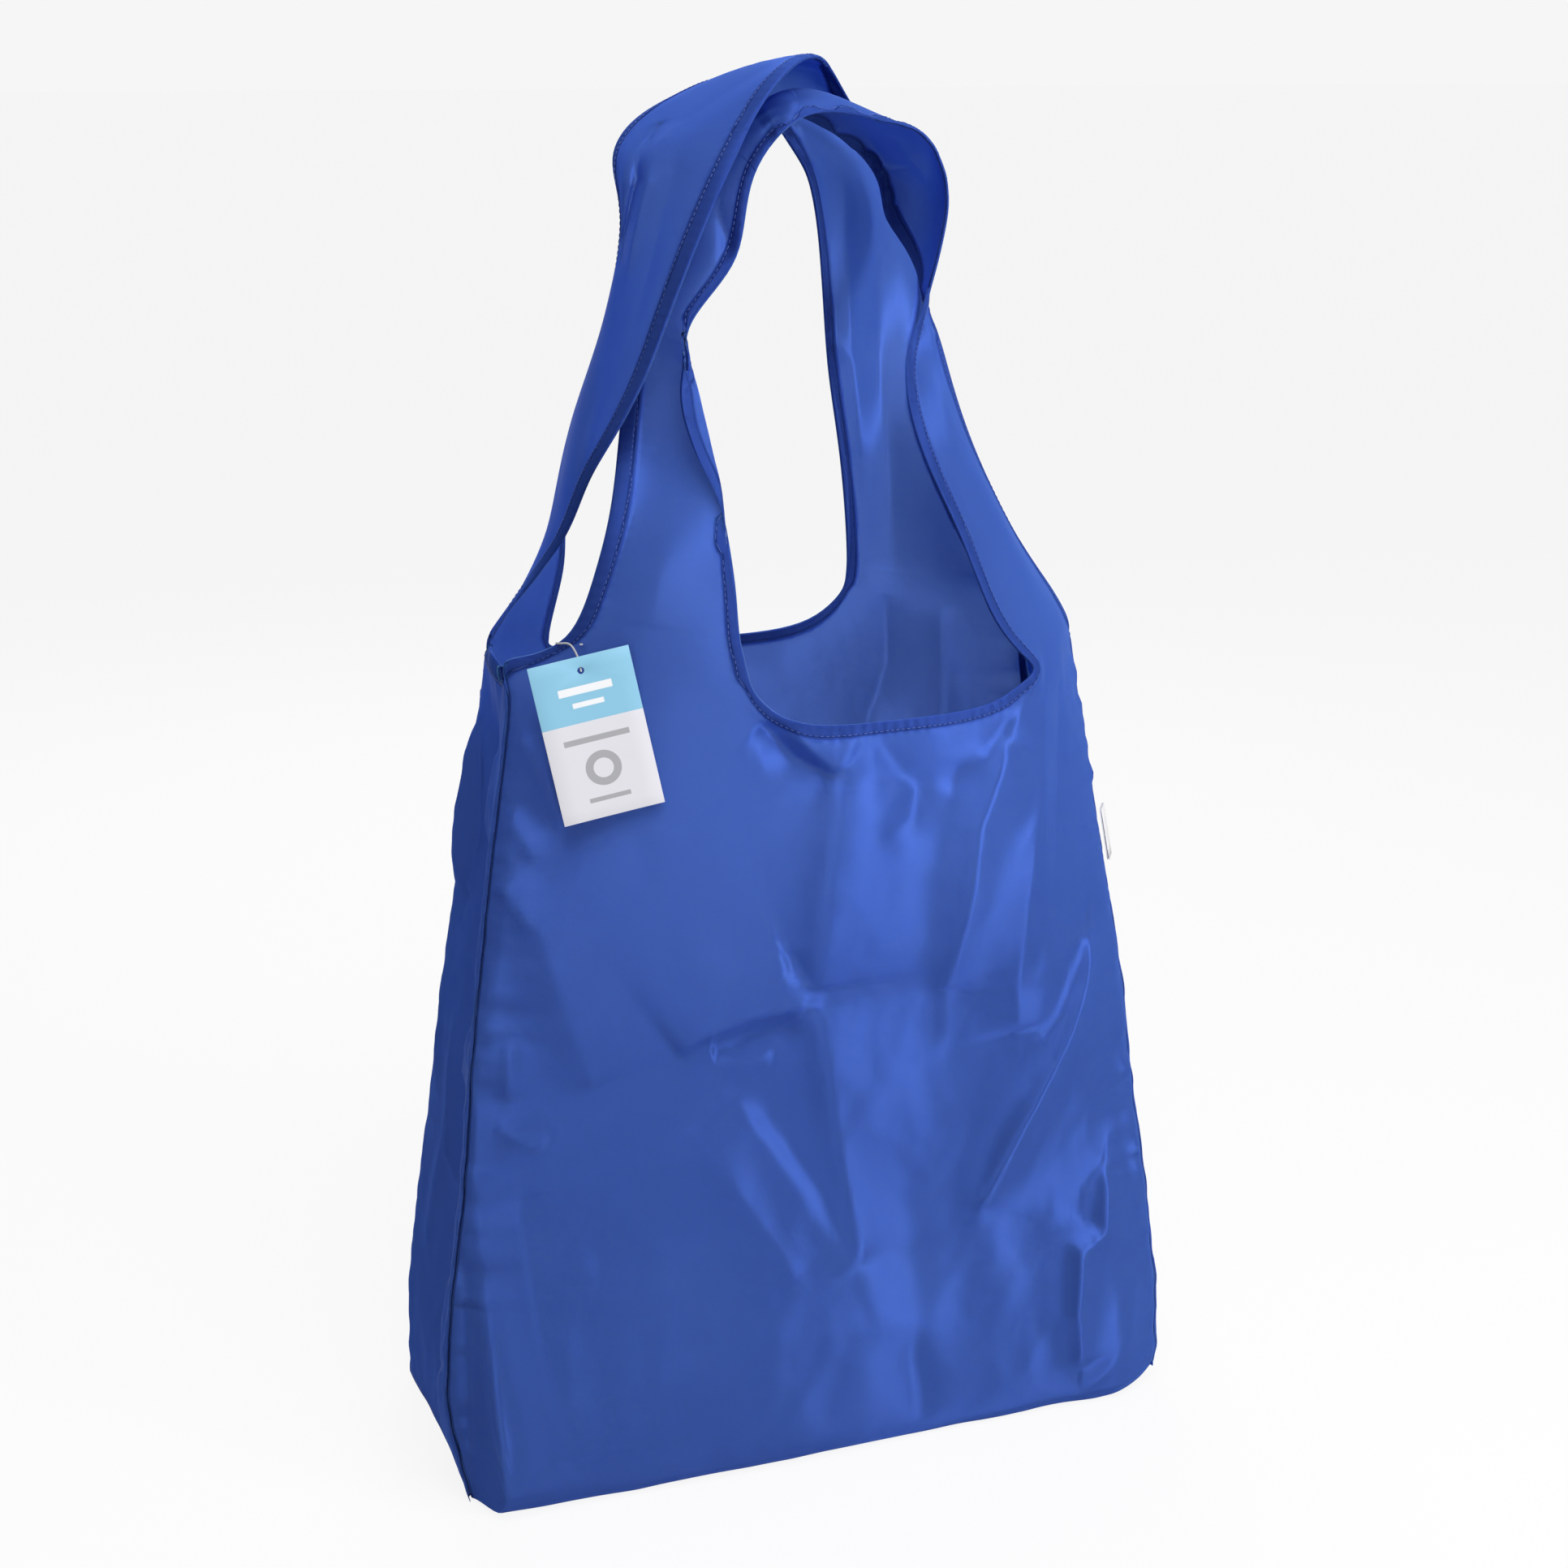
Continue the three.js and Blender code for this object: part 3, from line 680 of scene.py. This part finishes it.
def smooth(share):
    share = np.clip(share, 0, 1)
    return share * share * (3 - 2 * share)


def fold_height(across, up, folds):
    """How far the folds lift the cloth, at places given in millimetres."""
    total = np.zeros(len(across))
    for points, rise, left, right in folds:
        line = np.array(points, float)
        steps = np.diff(line, axis=0)
        lengths = np.hypot(steps[:, 0], steps[:, 1])
        run = np.concatenate([[0], np.cumsum(lengths)])
        best = np.full(len(across), np.inf)
        side = np.zeros(len(across))
        share = np.zeros(len(across))
        for start, step, length, before in zip(line[:-1], steps, lengths, run[:-1]):
            ahead = step / length
            dx = across - start[0]
            dz = up - start[1]
            along = np.clip(dx * ahead[0] + dz * ahead[1], 0, length)
            off = np.hypot(dx - along * ahead[0], dz - along * ahead[1])
            closer = off < best
            best = np.where(closer, off, best)
            side = np.where(closer, ahead[0] * dz - ahead[1] * dx, side)
            share = np.where(closer, (before + along) / run[-1], share)
        fade = np.clip(4 * share * (1 - share), 0, 1) ** 0.5
        width = np.where(side > 0, left, right) * (0.45 + 0.55 * fade)
        total += rise * (0.15 + 0.85 * fade) * np.exp(-((best / width) ** FOLD_SHARPNESS))
    return total


def strap_push(place, folds):
    """How far the folds of the handles push the cloth towards the front, in millimetres."""
    total = np.zeros(len(place))
    for points, rise, width in folds:
        line = np.array(points, float) * MM
        best = np.full(len(place), np.inf)
        fade = np.zeros(len(place))
        count = len(line) - 1
        for number, (start, end) in enumerate(zip(line[:-1], line[1:])):
            step = end - start
            along = np.clip((place - start) @ step / (step @ step), 0, 1)
            off = np.linalg.norm(place - start - along[:, None] * step, axis=1)
            share = (number + along) / count
            fade = np.where(off < best, 4 * share * (1 - share), fade)
            best = np.minimum(best, off)
        total += rise * (0.2 + 0.8 * np.sqrt(fade)) * np.exp(-((best / (width * MM)) ** FOLD_SHARPNESS))
    return total


def ripple(flat, scale, stretch, seed):
    """Soft noise over the flat pattern, stretched along the length of the cloth."""
    return np.array([
        noise.noise(Vector((u * scale, v * scale / stretch, seed))) for u, v in flat
    ])


def crumple(flat, scale, stretch, seed):
    """Noise with sharp crests, like cloth that was crushed and opened again."""
    coarse = 1 - 2 * np.abs(ripple(flat, scale, stretch, seed))
    return coarse + 0.5 * ripple(flat, 2.3 * scale, stretch, seed + 1)


def settle(place):
    """Lifts the base's right corners and, a little and unevenly, its long edges off the ground."""
    off_edge = np.hypot(np.maximum(BASE_EDGE - np.abs(place[:, 1]), 0), place[:, 2])
    off_end = np.maximum(BASE_END - np.abs(place[:, 0]), 0)
    wave = np.array([noise.noise(Vector((x * 17, y * 3, 0.6))) for x, y, z in place])
    corner_lift = np.where(place[:, 0] > 0, RIGHT_CORNER_LIFT, LEFT_CORNER_LIFT)
    corner = np.exp(-((off_end / CORNER_REACH) ** 2)) * corner_lift
    lift = (corner + EDGE_WAVE * np.maximum(wave, 0)) * np.exp(-((off_edge / (20 * MM)) ** 1.5))
    return lift * MM


def belly(place):
    """How far the foot of the front bulges forwards between its corners."""
    x, y, z = place.T
    wide = smooth((x + BASE_END) / BELLY_LEFT) * smooth((BASE_END + 6 * MM - x) / BELLY_RIGHT)
    tall = np.exp(-((z / BELLY_HEIGHT) ** 2)) - 0.3 * np.exp(-z / FOOT_TUCK)
    fuller_left = 0.8 - 0.2 * np.tanh(x / (60 * MM))
    return BELLY_REACH * fuller_left * wide * tall * smooth(-y / BASE_EDGE)


def nudge(place, nudges):
    """The small moves of the cloth at its places."""
    total = np.zeros(place.shape)
    for middle, move, reach in nudges:
        off = np.linalg.norm(place - np.array(middle) * MM, axis=1)
        total += np.array(move) * MM * np.exp(-((off / (reach * MM)) ** 2))[:, None]
    return total


def flat_places(mesh):
    """Where each vertex lies in the flat pattern."""
    layer = mesh.uv_layers["flat"].data
    flat = np.zeros(len(layer) * 2)
    layer.foreach_get("uv", flat)
    corners = np.zeros(len(mesh.loops), int)
    mesh.loops.foreach_get("vertex_index", corners)
    result = np.zeros((len(mesh.vertices), 2))
    result[corners] = flat.reshape(-1, 2)
    return result


def write_attribute(mesh, name, values):
    attribute = mesh.attributes.new(name, "FLOAT", "POINT")
    attribute.data.foreach_set("value", values.astype(np.float32))


def is_mouth(edge):
    return edge[:, 2].min() > MOUTH_LOW


def panel_hem(edge):
    """Which places on a free edge of a panel are hemmed: the mouth, and straps above their seams."""
    return is_mouth(edge) | (edge[:, 2] > SEAM_TOP)


def gusset_hem(edge):
    """The top edge of a gusset, between its two upper corners."""
    high = edge[edge[:, 2] > GUSSET_TOP]
    middle = high[:, 1].mean()
    halves = (high[high[:, 1] < middle], high[high[:, 1] > middle])
    front, back = (max(half, key=lambda p: p[2]) for half in halves)
    return (edge[:, 2] > GUSSET_TOP) & (edge[:, 1] >= front[1]) & (edge[:, 1] <= back[1])


def run_along(place, rings):
    """How far along its ring each free vertex lies."""
    run = np.zeros(len(place))
    for ring in rings:
        steps = np.linalg.norm(np.diff(place[ring], axis=0), axis=1)
        run[ring] = np.concatenate([[0], np.cumsum(steps)])
    return run


def measure_edges(mesh, place, rings, is_hem):
    """Distance over the cloth from its hemmed edges, where on them it is nearest, and what is sewn."""
    hem = np.full(len(place), EDGE_REACH)
    hem_start = np.full(len(place), -1)
    seams = []
    for ring in map(np.array, rings):
        edge = place[ring]
        hemmed = is_hem(edge)
        seams.extend(ring[~hemmed & (edge[:, 2] > WALL_FOOT)].tolist())
        off, start = over_cloth(mesh, ring[hemmed].tolist())
        if not is_mouth(edge):
            off = off * HEM_WIDTH / SIDE_HEM_WIDTH
        hem_start = np.where(off < hem, start, hem_start)
        hem = np.minimum(off, hem)
    return hem, hem_start, seams


def sculpt(piece, spot, folds, strap_folds, nudges, is_hem, seed, swell, crushed):
    """Moves the cloth into its folds, puckers its seams, and raises its hems."""
    mesh = piece.data
    place = places(mesh)
    outward = directions(mesh)
    flat = flat_places(mesh)
    rings = free_runs(mesh)
    run = run_along(place, rings)
    hem, hem_start, seams = measure_edges(mesh, place, rings, is_hem)
    seam, seam_start = over_cloth(mesh, seams)
    across, up = spot(place)
    height = place[:, 2]
    on_wall = smooth((height - 3 * MM) / (14 * MM)) * smooth((WALL_TOP - height) / (30 * MM))
    held = smooth(hem / (9 * MM)) * smooth(seam / (10 * MM))
    lift = fold_height(across / MM, up / MM, folds) * on_wall * (0.25 + 0.75 * held)
    lift += swell * ripple(flat, *BROAD_RIPPLE, seed) * held * on_wall
    lift += FINE_HEIGHT * ripple(flat, *FINE_RIPPLE, seed + 3) * held
    crushing = CRUSH_SHARE * crumple(flat, *COARSE_CRUSH, seed + 5)
    crushing += CRUSH_SHARE * crumple(flat, *FINE_CRUSH, seed + 9)
    lift += crushed * crushing * held * on_wall
    on_strap = smooth((height - 0.40) / (30 * MM))
    lift += STRAP_HEIGHT * ripple(flat, *STRAP_RIPPLE, seed + 7) * on_strap * smooth(hem / (12 * MM))
    seam_run = np.stack([run[seam_start], np.zeros(len(run))], axis=1)
    pucker = crumple(seam_run, 52, 1, seed + 11) + 0.7 * ripple(seam_run, 110, 1, seed + 13)
    near_seam = np.exp(-seam / PUCKER_REACH) * (seam < EDGE_REACH) * on_wall
    lift += PUCKER_SHARE * swell * pucker * near_seam * smooth(seam / (5 * MM))
    sewing = np.zeros(len(place))
    mesh.attributes["sewing"].data.foreach_get("value", sewing)
    off_sewing = np.clip(1 - sewing, 0, 1) * 9 * MM
    ends = np.stack([hem, np.zeros(len(hem))], axis=1)
    lift += np.exp(-off_sewing / (3 * MM)) * (sewing > 0.02) * (1.2 * ripple(ends, 190, 1, seed) - 0.6)
    off_turn = np.linalg.norm(place - np.array(HEM_TURN) * MM, axis=1)
    pressed = smooth(off_turn / (HEM_TURN_REACH * MM) - 0.3)
    hem_step = smooth((HEM_WIDTH + 0.5 * MM - hem) / (0.9 * MM)) * pressed
    hem_round = np.sqrt(np.clip(1 - (np.clip(hem / HEM_WIDTH, 0, 1) * 2 - 1) ** 2, 0, 1))
    moved = place + outward * (lift * MM + hem_step * HEM_RISE * (0.4 + 0.6 * hem_round))[:, None]
    inward = np.stack([-np.sign(place[:, 0]), -np.sign(place[:, 1]), np.zeros(len(place))], axis=1)
    uneven = 1 + 0.9 * np.array([noise.noise(Vector((z * 70, 0.4, 0.2))) for x, y, z in place])
    pinch = SEAM_PINCH * uneven * np.exp(-seam / PINCH_REACH) * (seam < EDGE_REACH) * on_wall
    moved += inward * pinch[:, None] * math.sqrt(0.5)
    push = strap_push(place, strap_folds) * on_strap * smooth((hem + 2 * MM) / (8 * MM))
    moved += np.array(FRONTWARD) * (push * MM)[:, None]
    moved[:, 2] = np.maximum(moved[:, 2], 0) + settle(place)
    moved[:, 1] -= belly(place)
    moved += nudge(place, nudges)
    mesh.vertices.foreach_set("co", moved.ravel())
    write_attribute(mesh, "hem", hem)
    write_attribute(mesh, "seam", np.minimum(seam, np.where(sewing > 0.02, off_sewing, EDGE_REACH)))
    write_attribute(mesh, "seam_run", seam_run[:, 0])
    write_attribute(mesh, "run", np.where(hem_start >= 0, run[hem_start], 0))
    group = piece.vertex_groups.new(name="doubled")
    for vertex in np.flatnonzero(hem_step > 0):
        group.add([int(vertex)], float(hem_step[vertex]), "REPLACE")
    mesh.update()
    return seams, hem, hem_start, run


def turn_in_seams(piece, seams):
    """Turns the cloth's sewn edges into the bag as seam allowances."""
    shape = bmesh.new()
    shape.from_mesh(piece.data)
    shape.verts.ensure_lookup_table()
    sewn = {shape.verts[i] for i in seams}
    edges = [e for e in shape.edges if e.is_boundary and e.verts[0] in sewn and e.verts[1] in sewn]
    made = bmesh.ops.extrude_edge_only(shape, edges=edges)["geom"]
    for vertex in made:
        if isinstance(vertex, bmesh.types.BMVert):
            way = Vector((-math.copysign(1, vertex.co.x), -math.copysign(1, vertex.co.y), 0))
            below_rim = float(smooth((SEAM_TOP - vertex.co.z) / (30 * MM)))
            vertex.co += way.normalized() * SEAM_ALLOWANCE * max(below_rim, 0.05)
    bmesh.ops.recalc_face_normals(shape, faces=[f for f in made if isinstance(f, bmesh.types.BMFace)])
    shape.to_mesh(piece.data)
    shape.free()


def hem_stitches(piece, name, rings, hem, hem_start, run, thread):
    """A row of stitches along the hems, each a small rounded bar lying on the cloth."""
    mesh = piece.data
    place = places(mesh)
    outward = directions(mesh)
    on_line = {}
    for vertex in np.flatnonzero(hem < 1.6 * STITCH_LINE):
        start = int(hem_start[vertex])
        gap = abs(hem[vertex] - STITCH_LINE)
        if start not in on_line or gap < on_line[start][0]:
            on_line[start] = (gap, int(vertex))
    ring_of = {vertex: number for number, ring in enumerate(rings) for vertex in ring}
    lines = {}
    for start, (gap, vertex) in on_line.items():
        if gap < 1.2 * MM:
            lines.setdefault(ring_of[start], []).append((run[start], vertex))
    bars = []
    for line in lines.values():
        line.sort()
        marks = np.array([mark for mark, _ in line])
        path = place[[vertex for _, vertex in line]]
        lift = outward[[vertex for _, vertex in line]]
        for start in np.arange(marks[0], marks[-1] - STITCH_PITCH, STITCH_PITCH):
            ends = [start, start + STITCH_LENGTH]
            after = np.searchsorted(marks, start)
            if marks[min(after, len(marks) - 1)] - marks[max(after - 1, 0)] > 3 * STITCH_PITCH:
                continue
            a, b = (np.array([np.interp(end, marks, path[:, k]) for k in range(3)]) for end in ends)
            up = np.array([np.interp(start, marks, lift[:, k]) for k in range(3)])
            bars.append((Vector(a), Vector(b), Vector(up).normalized()))
    bpy.ops.object.select_all(action="DESELECT")
    bpy.ops.mesh.primitive_uv_sphere_add(segments=6, ring_count=4, radius=0.5)
    bar = bpy.context.object
    bar.name = name
    shape = bmesh.new()
    one = bar.data.copy()
    for a, b, up in bars:
        ahead = b - a
        if ahead.length < 0.5 * MM:
            continue
        beside = up.cross(ahead).normalized()
        up = ahead.cross(beside).normalized()
        frame_of_bar = Matrix((
            (*(beside * STITCH_WIDTH), 0),
            (*(up * STITCH_WIDTH), 0),
            (*ahead, 0),
            (*((a + b) / 2 + up * 0.12 * STITCH_WIDTH), 1),
        )).transposed()
        count = len(shape.verts)
        shape.from_mesh(one)
        shape.verts.ensure_lookup_table()
        bmesh.ops.transform(shape, matrix=frame_of_bar, verts=shape.verts[count:])
    bmesh.ops.recalc_face_normals(shape, faces=shape.faces[:])
    shape.to_mesh(bar.data)
    shape.free()
    bpy.data.meshes.remove(one)
    finish_piece(bar, thread)
    return bar


def finish_piece(piece, material):
    """Gives a piece its finish and smooth shading, and ties it to the bag."""
    piece.data.materials.clear()
    piece.data.materials.append(material)
    pick(piece)
    bpy.ops.object.shade_smooth()
    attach(piece, "root")


def sewn_sheet(node, name, shaping, has_handle, cloth, thread):
    """One cut of cloth of the bag, from its solid to its sculpted sheet with stitched hems."""
    piece = outer_skin(node, name)
    flatten(piece, has_handle)
    refine(piece)
    seams, hem, hem_start, run = sculpt(piece, *shaping)
    rings = free_runs(piece.data)
    stitches = hem_stitches(piece, name + "_stitches", rings, hem, hem_start, run, thread)
    turn_in_seams(piece, seams)
    apply_modifier(piece, "SOLIDIFY", {
        "thickness": HEM_THICKNESS,
        "offset": -1,
        "vertex_group": "doubled",
        "thickness_vertex_group": CLOTH_THICKNESS / HEM_THICKNESS,
    })
    finish_piece(piece, cloth)
    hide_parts(node)
    return piece, stitches


def card_frame(node):
    """Lower left corner, right and up edges, and facing of a flat card solid."""
    mesh = merged_copy(node, "card_guide")
    face = max(mesh.data.polygons, key=lambda f: f.area)
    facing = face.normal.copy()
    if facing.y > 0:
        facing = -facing
    points = [v.co.copy() for v in mesh.data.vertices]
    bpy.data.objects.remove(mesh)
    middle = sum(points, Vector()) / len(points)
    corners = sorted(points, key=lambda p: -(p - middle).length)[:8]
    lowest = sorted(corners, key=lambda p: p.z)[:4]
    highest = sorted(corners, key=lambda p: -p.z)[:4]
    low_left = min(lowest, key=lambda p: p.x)
    low_right = max(lowest, key=lambda p: p.x)
    high_left = min(highest, key=lambda p: p.x)
    return low_left, low_right - low_left, high_left - low_left, facing


def hang_tag(material):
    """Card tag, slightly curled, with a punched hole near its top."""
    corner, right, up, facing = card_frame("hang_tag")
    width = right.length
    length = up.length
    hole = 1.6 * MM
    hole_drop = 6.5 * MM
    collar = 13 * MM
    bpy.ops.object.select_all(action="DESELECT")
    bpy.ops.mesh.primitive_circle_add(vertices=32, radius=hole, location=(0, 0, 0))
    tag = bpy.context.object
    tag.name = "hang_tag_card"
    shape = bmesh.new()
    shape.from_mesh(tag.data)
    made = bmesh.ops.extrude_edge_only(shape, edges=shape.edges[:])["geom"]
    ring = [vertex for vertex in made if isinstance(vertex, bmesh.types.BMVert)]
    for vertex in ring:
        x, y = vertex.co.x, vertex.co.y
        reach_x = width / 2 / max(abs(x), 1e-9)
        reach_y = (hole_drop if y > 0 else collar - hole_drop) / max(abs(y), 1e-9)
        vertex.co = Vector((x, y, 0)) * min(reach_x, reach_y)
    for sign in (-1, 1):
        for level in (hole_drop, hole_drop - collar):
            target = Vector((sign * width / 2, level, 0))
            min(ring, key=lambda v: (v.co - target).length).co = target
    shape.edges.ensure_lookup_table()
    foot = hole_drop - collar
    lower = [e for e in shape.edges if all(abs(v.co.y - foot) < 1e-7 for v in e.verts)]
    rows = 12
    for row in range(rows):
        made = bmesh.ops.extrude_edge_only(shape, edges=lower)["geom"]
        for vertex in made:
            if isinstance(vertex, bmesh.types.BMVert):
                vertex.co.y -= (length - collar) / rows
        lower = [e for e in made if isinstance(e, bmesh.types.BMEdge)]
        lower = [e for e in lower if abs(e.verts[0].co.y - e.verts[1].co.y) < 1e-7]
    bmesh.ops.recalc_face_normals(shape, faces=shape.faces[:])
    if shape.faces[:][0].normal.z < 0:
        bmesh.ops.reverse_faces(shape, faces=shape.faces[:])
    layer = shape.loops.layers.uv.new("flat")
    for face in shape.faces:
        for loop in face.loops:
            at = loop.vert.co
            loop[layer].uv = (at.x / width + 0.5, (at.y - hole_drop) / length + 1)
    x_way = right.normalized()
    y_way = up.normalized()
    origin = corner + right / 2 + up - y_way * hole_drop
    for vertex in shape.verts:
        at = vertex.co.copy()
        curl = 1.2 * MM * ((at.y - hole_drop) / length) ** 2 + 0.5 * MM * (2 * at.x / width) ** 2
        vertex.co = origin + x_way * at.x + y_way * at.y + facing * curl
    shape.to_mesh(tag.data)
    shape.free()
    apply_modifier(tag, "SOLIDIFY", {"thickness": 0.5 * MM, "offset": 0})
    apply_modifier(tag, "BEVEL", {"width": 0.08 * MM, "segments": 2, "limit_method": "ANGLE"})
    finish_piece(tag, material)
    pick(tag)
    bpy.ops.object.shade_smooth_by_angle(angle=math.radians(40))
    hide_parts("hang_tag")
    return tag


def tag_loop(material):
    """The thin plastic loop that holds the tag, rounded from its solid."""
    loop = merged_copy("tag_loop", "tag_loop_cord")
    apply_modifier(loop, "SUBSURF", {"levels": 1, "render_levels": 1})
    finish_piece(loop, material)
    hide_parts("tag_loop")
    return loop


def side_label(material):
    """Folded ribbon label sewn into the side seam, a little wavy."""
    label = merged_copy("side_label", "side_label_ribbon")
    pick(label)
    bpy.ops.object.mode_set(mode="EDIT")
    bpy.ops.mesh.select_all(action="SELECT")
    bpy.ops.mesh.subdivide(number_cuts=3)
    bpy.ops.object.mode_set(mode="OBJECT")
    for vertex in label.data.vertices:
        sway = noise.noise(Vector((vertex.co.z * 90, 0.3, 0.7)))
        vertex.co.y += 0.5 * MM * sway
    finish_piece(label, material)
    pick(label)
    bpy.ops.object.shade_smooth_by_angle(angle=math.radians(40))
    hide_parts("side_label")
    return label


def front_spot(place):
    return place[:, 0], place[:, 2]


def back_spot(place):
    return -place[:, 0], place[:, 2]


def side_spot(place):
    return -place[:, 1], place[:, 2]


def bag():
    cloth = woven_cloth()
    thread = sewing_thread()
    front = (front_spot, FRONT_FOLDS, FRONT_STRAP_FOLDS, NUDGES, panel_hem, 0.4, 2.2, 0.4)
    back = (back_spot, BACK_FOLDS, BACK_STRAP_FOLDS, NUDGES, panel_hem, 5.1, 2.2, 0.6)
    left = (side_spot, GUSSET_FOLDS, [], NUDGES + GUSSET_NUDGES, gusset_hem, 9.7, 1, 0.9)
    right = (side_spot, GUSSET_FOLDS, [], NUDGES + GUSSET_NUDGES, gusset_hem, 14.2, 1, 0.4)
    sheets = [
        ("front_panel", front, True, PANEL_CUT, PANEL_AREA),
        ("back_panel", back, True, PANEL_CUT, PANEL_AREA),
        ("left_gusset", left, False, GUSSET_CUT, None),
        ("right_gusset", right, False, GUSSET_CUT, None),
    ]
    for node, shaping, has_handle, cut, area in sheets:
        piece, stitches = sewn_sheet(node, node + "_cloth", shaping, has_handle, cloth, thread)
    hang_tag(printed_card())
    tag_loop(clear_plastic())
    side_label(label_ribbon())


def camera():
    eye = bpy.data.objects.new("camera", bpy.data.cameras.new("camera"))
    eye.data.lens = LENS
    eye.data.sensor_width = SENSOR
    eye.location = CAMERA_AT
    eye.rotation_euler = (math.radians(90 - CAMERA_DOWN), 0, math.radians(-CAMERA_TURN))
    scene.collection.objects.link(eye)
    scene.camera = eye


def soft_lamp(name, at, size, watts):
    lamp = bpy.data.objects.new(name, bpy.data.lights.new(name, "AREA"))
    lamp.data.shape = "DISK"
    lamp.data.size = size
    lamp.data.energy = watts
    lamp.location = at
    lamp.rotation_euler = (Vector(LAMP_TARGET) - Vector(at)).to_track_quat("-Z", "Y").to_euler()
    scene.collection.objects.link(lamp)


def studio():
    """A white floor and sky, with soft lamps above the front, low at the right and behind."""
    world = bpy.data.worlds.new("studio")
    world.use_nodes = True
    scene.world = world
    sky = Nodes(world.node_tree)
    background = sky.nodes["Background"]
    strength = sky.seen_rays() * (SKY_WHITE - SKY_LIGHT) + SKY_LIGHT
    sky.feed(background, {"Color": (1, 1, 1, 1), "Strength": strength})
    bpy.ops.object.select_all(action="DESELECT")
    bpy.ops.mesh.primitive_plane_add(size=FLOOR_SPAN, location=(0, 0, 0))
    floor = bpy.context.object
    floor.name = "studio_floor"
    paper = Finish("studio_paper", {"Roughness": 0.9})
    seen = paper.seen_rays()
    paper.vary({"Base Color": seen * (FLOOR_GREY_SEEN - FLOOR_GREY) + FLOOR_GREY})
    surface = Value(paper, paper.shader.outputs[0])
    glow = paper.add("Emission", {}, {})
    both = paper.add("MixShader", {}, {0: seen * FLOOR_WHITE, 1: surface, 2: glow})
    paper.feed(paper.nodes["Material Output"], {0: both})
    floor.data.materials.append(paper.material)
    for lamp in LAMPS:
        soft_lamp(*lamp)


scene.view_settings.view_transform = "Standard"
camera()
bag()
studio()
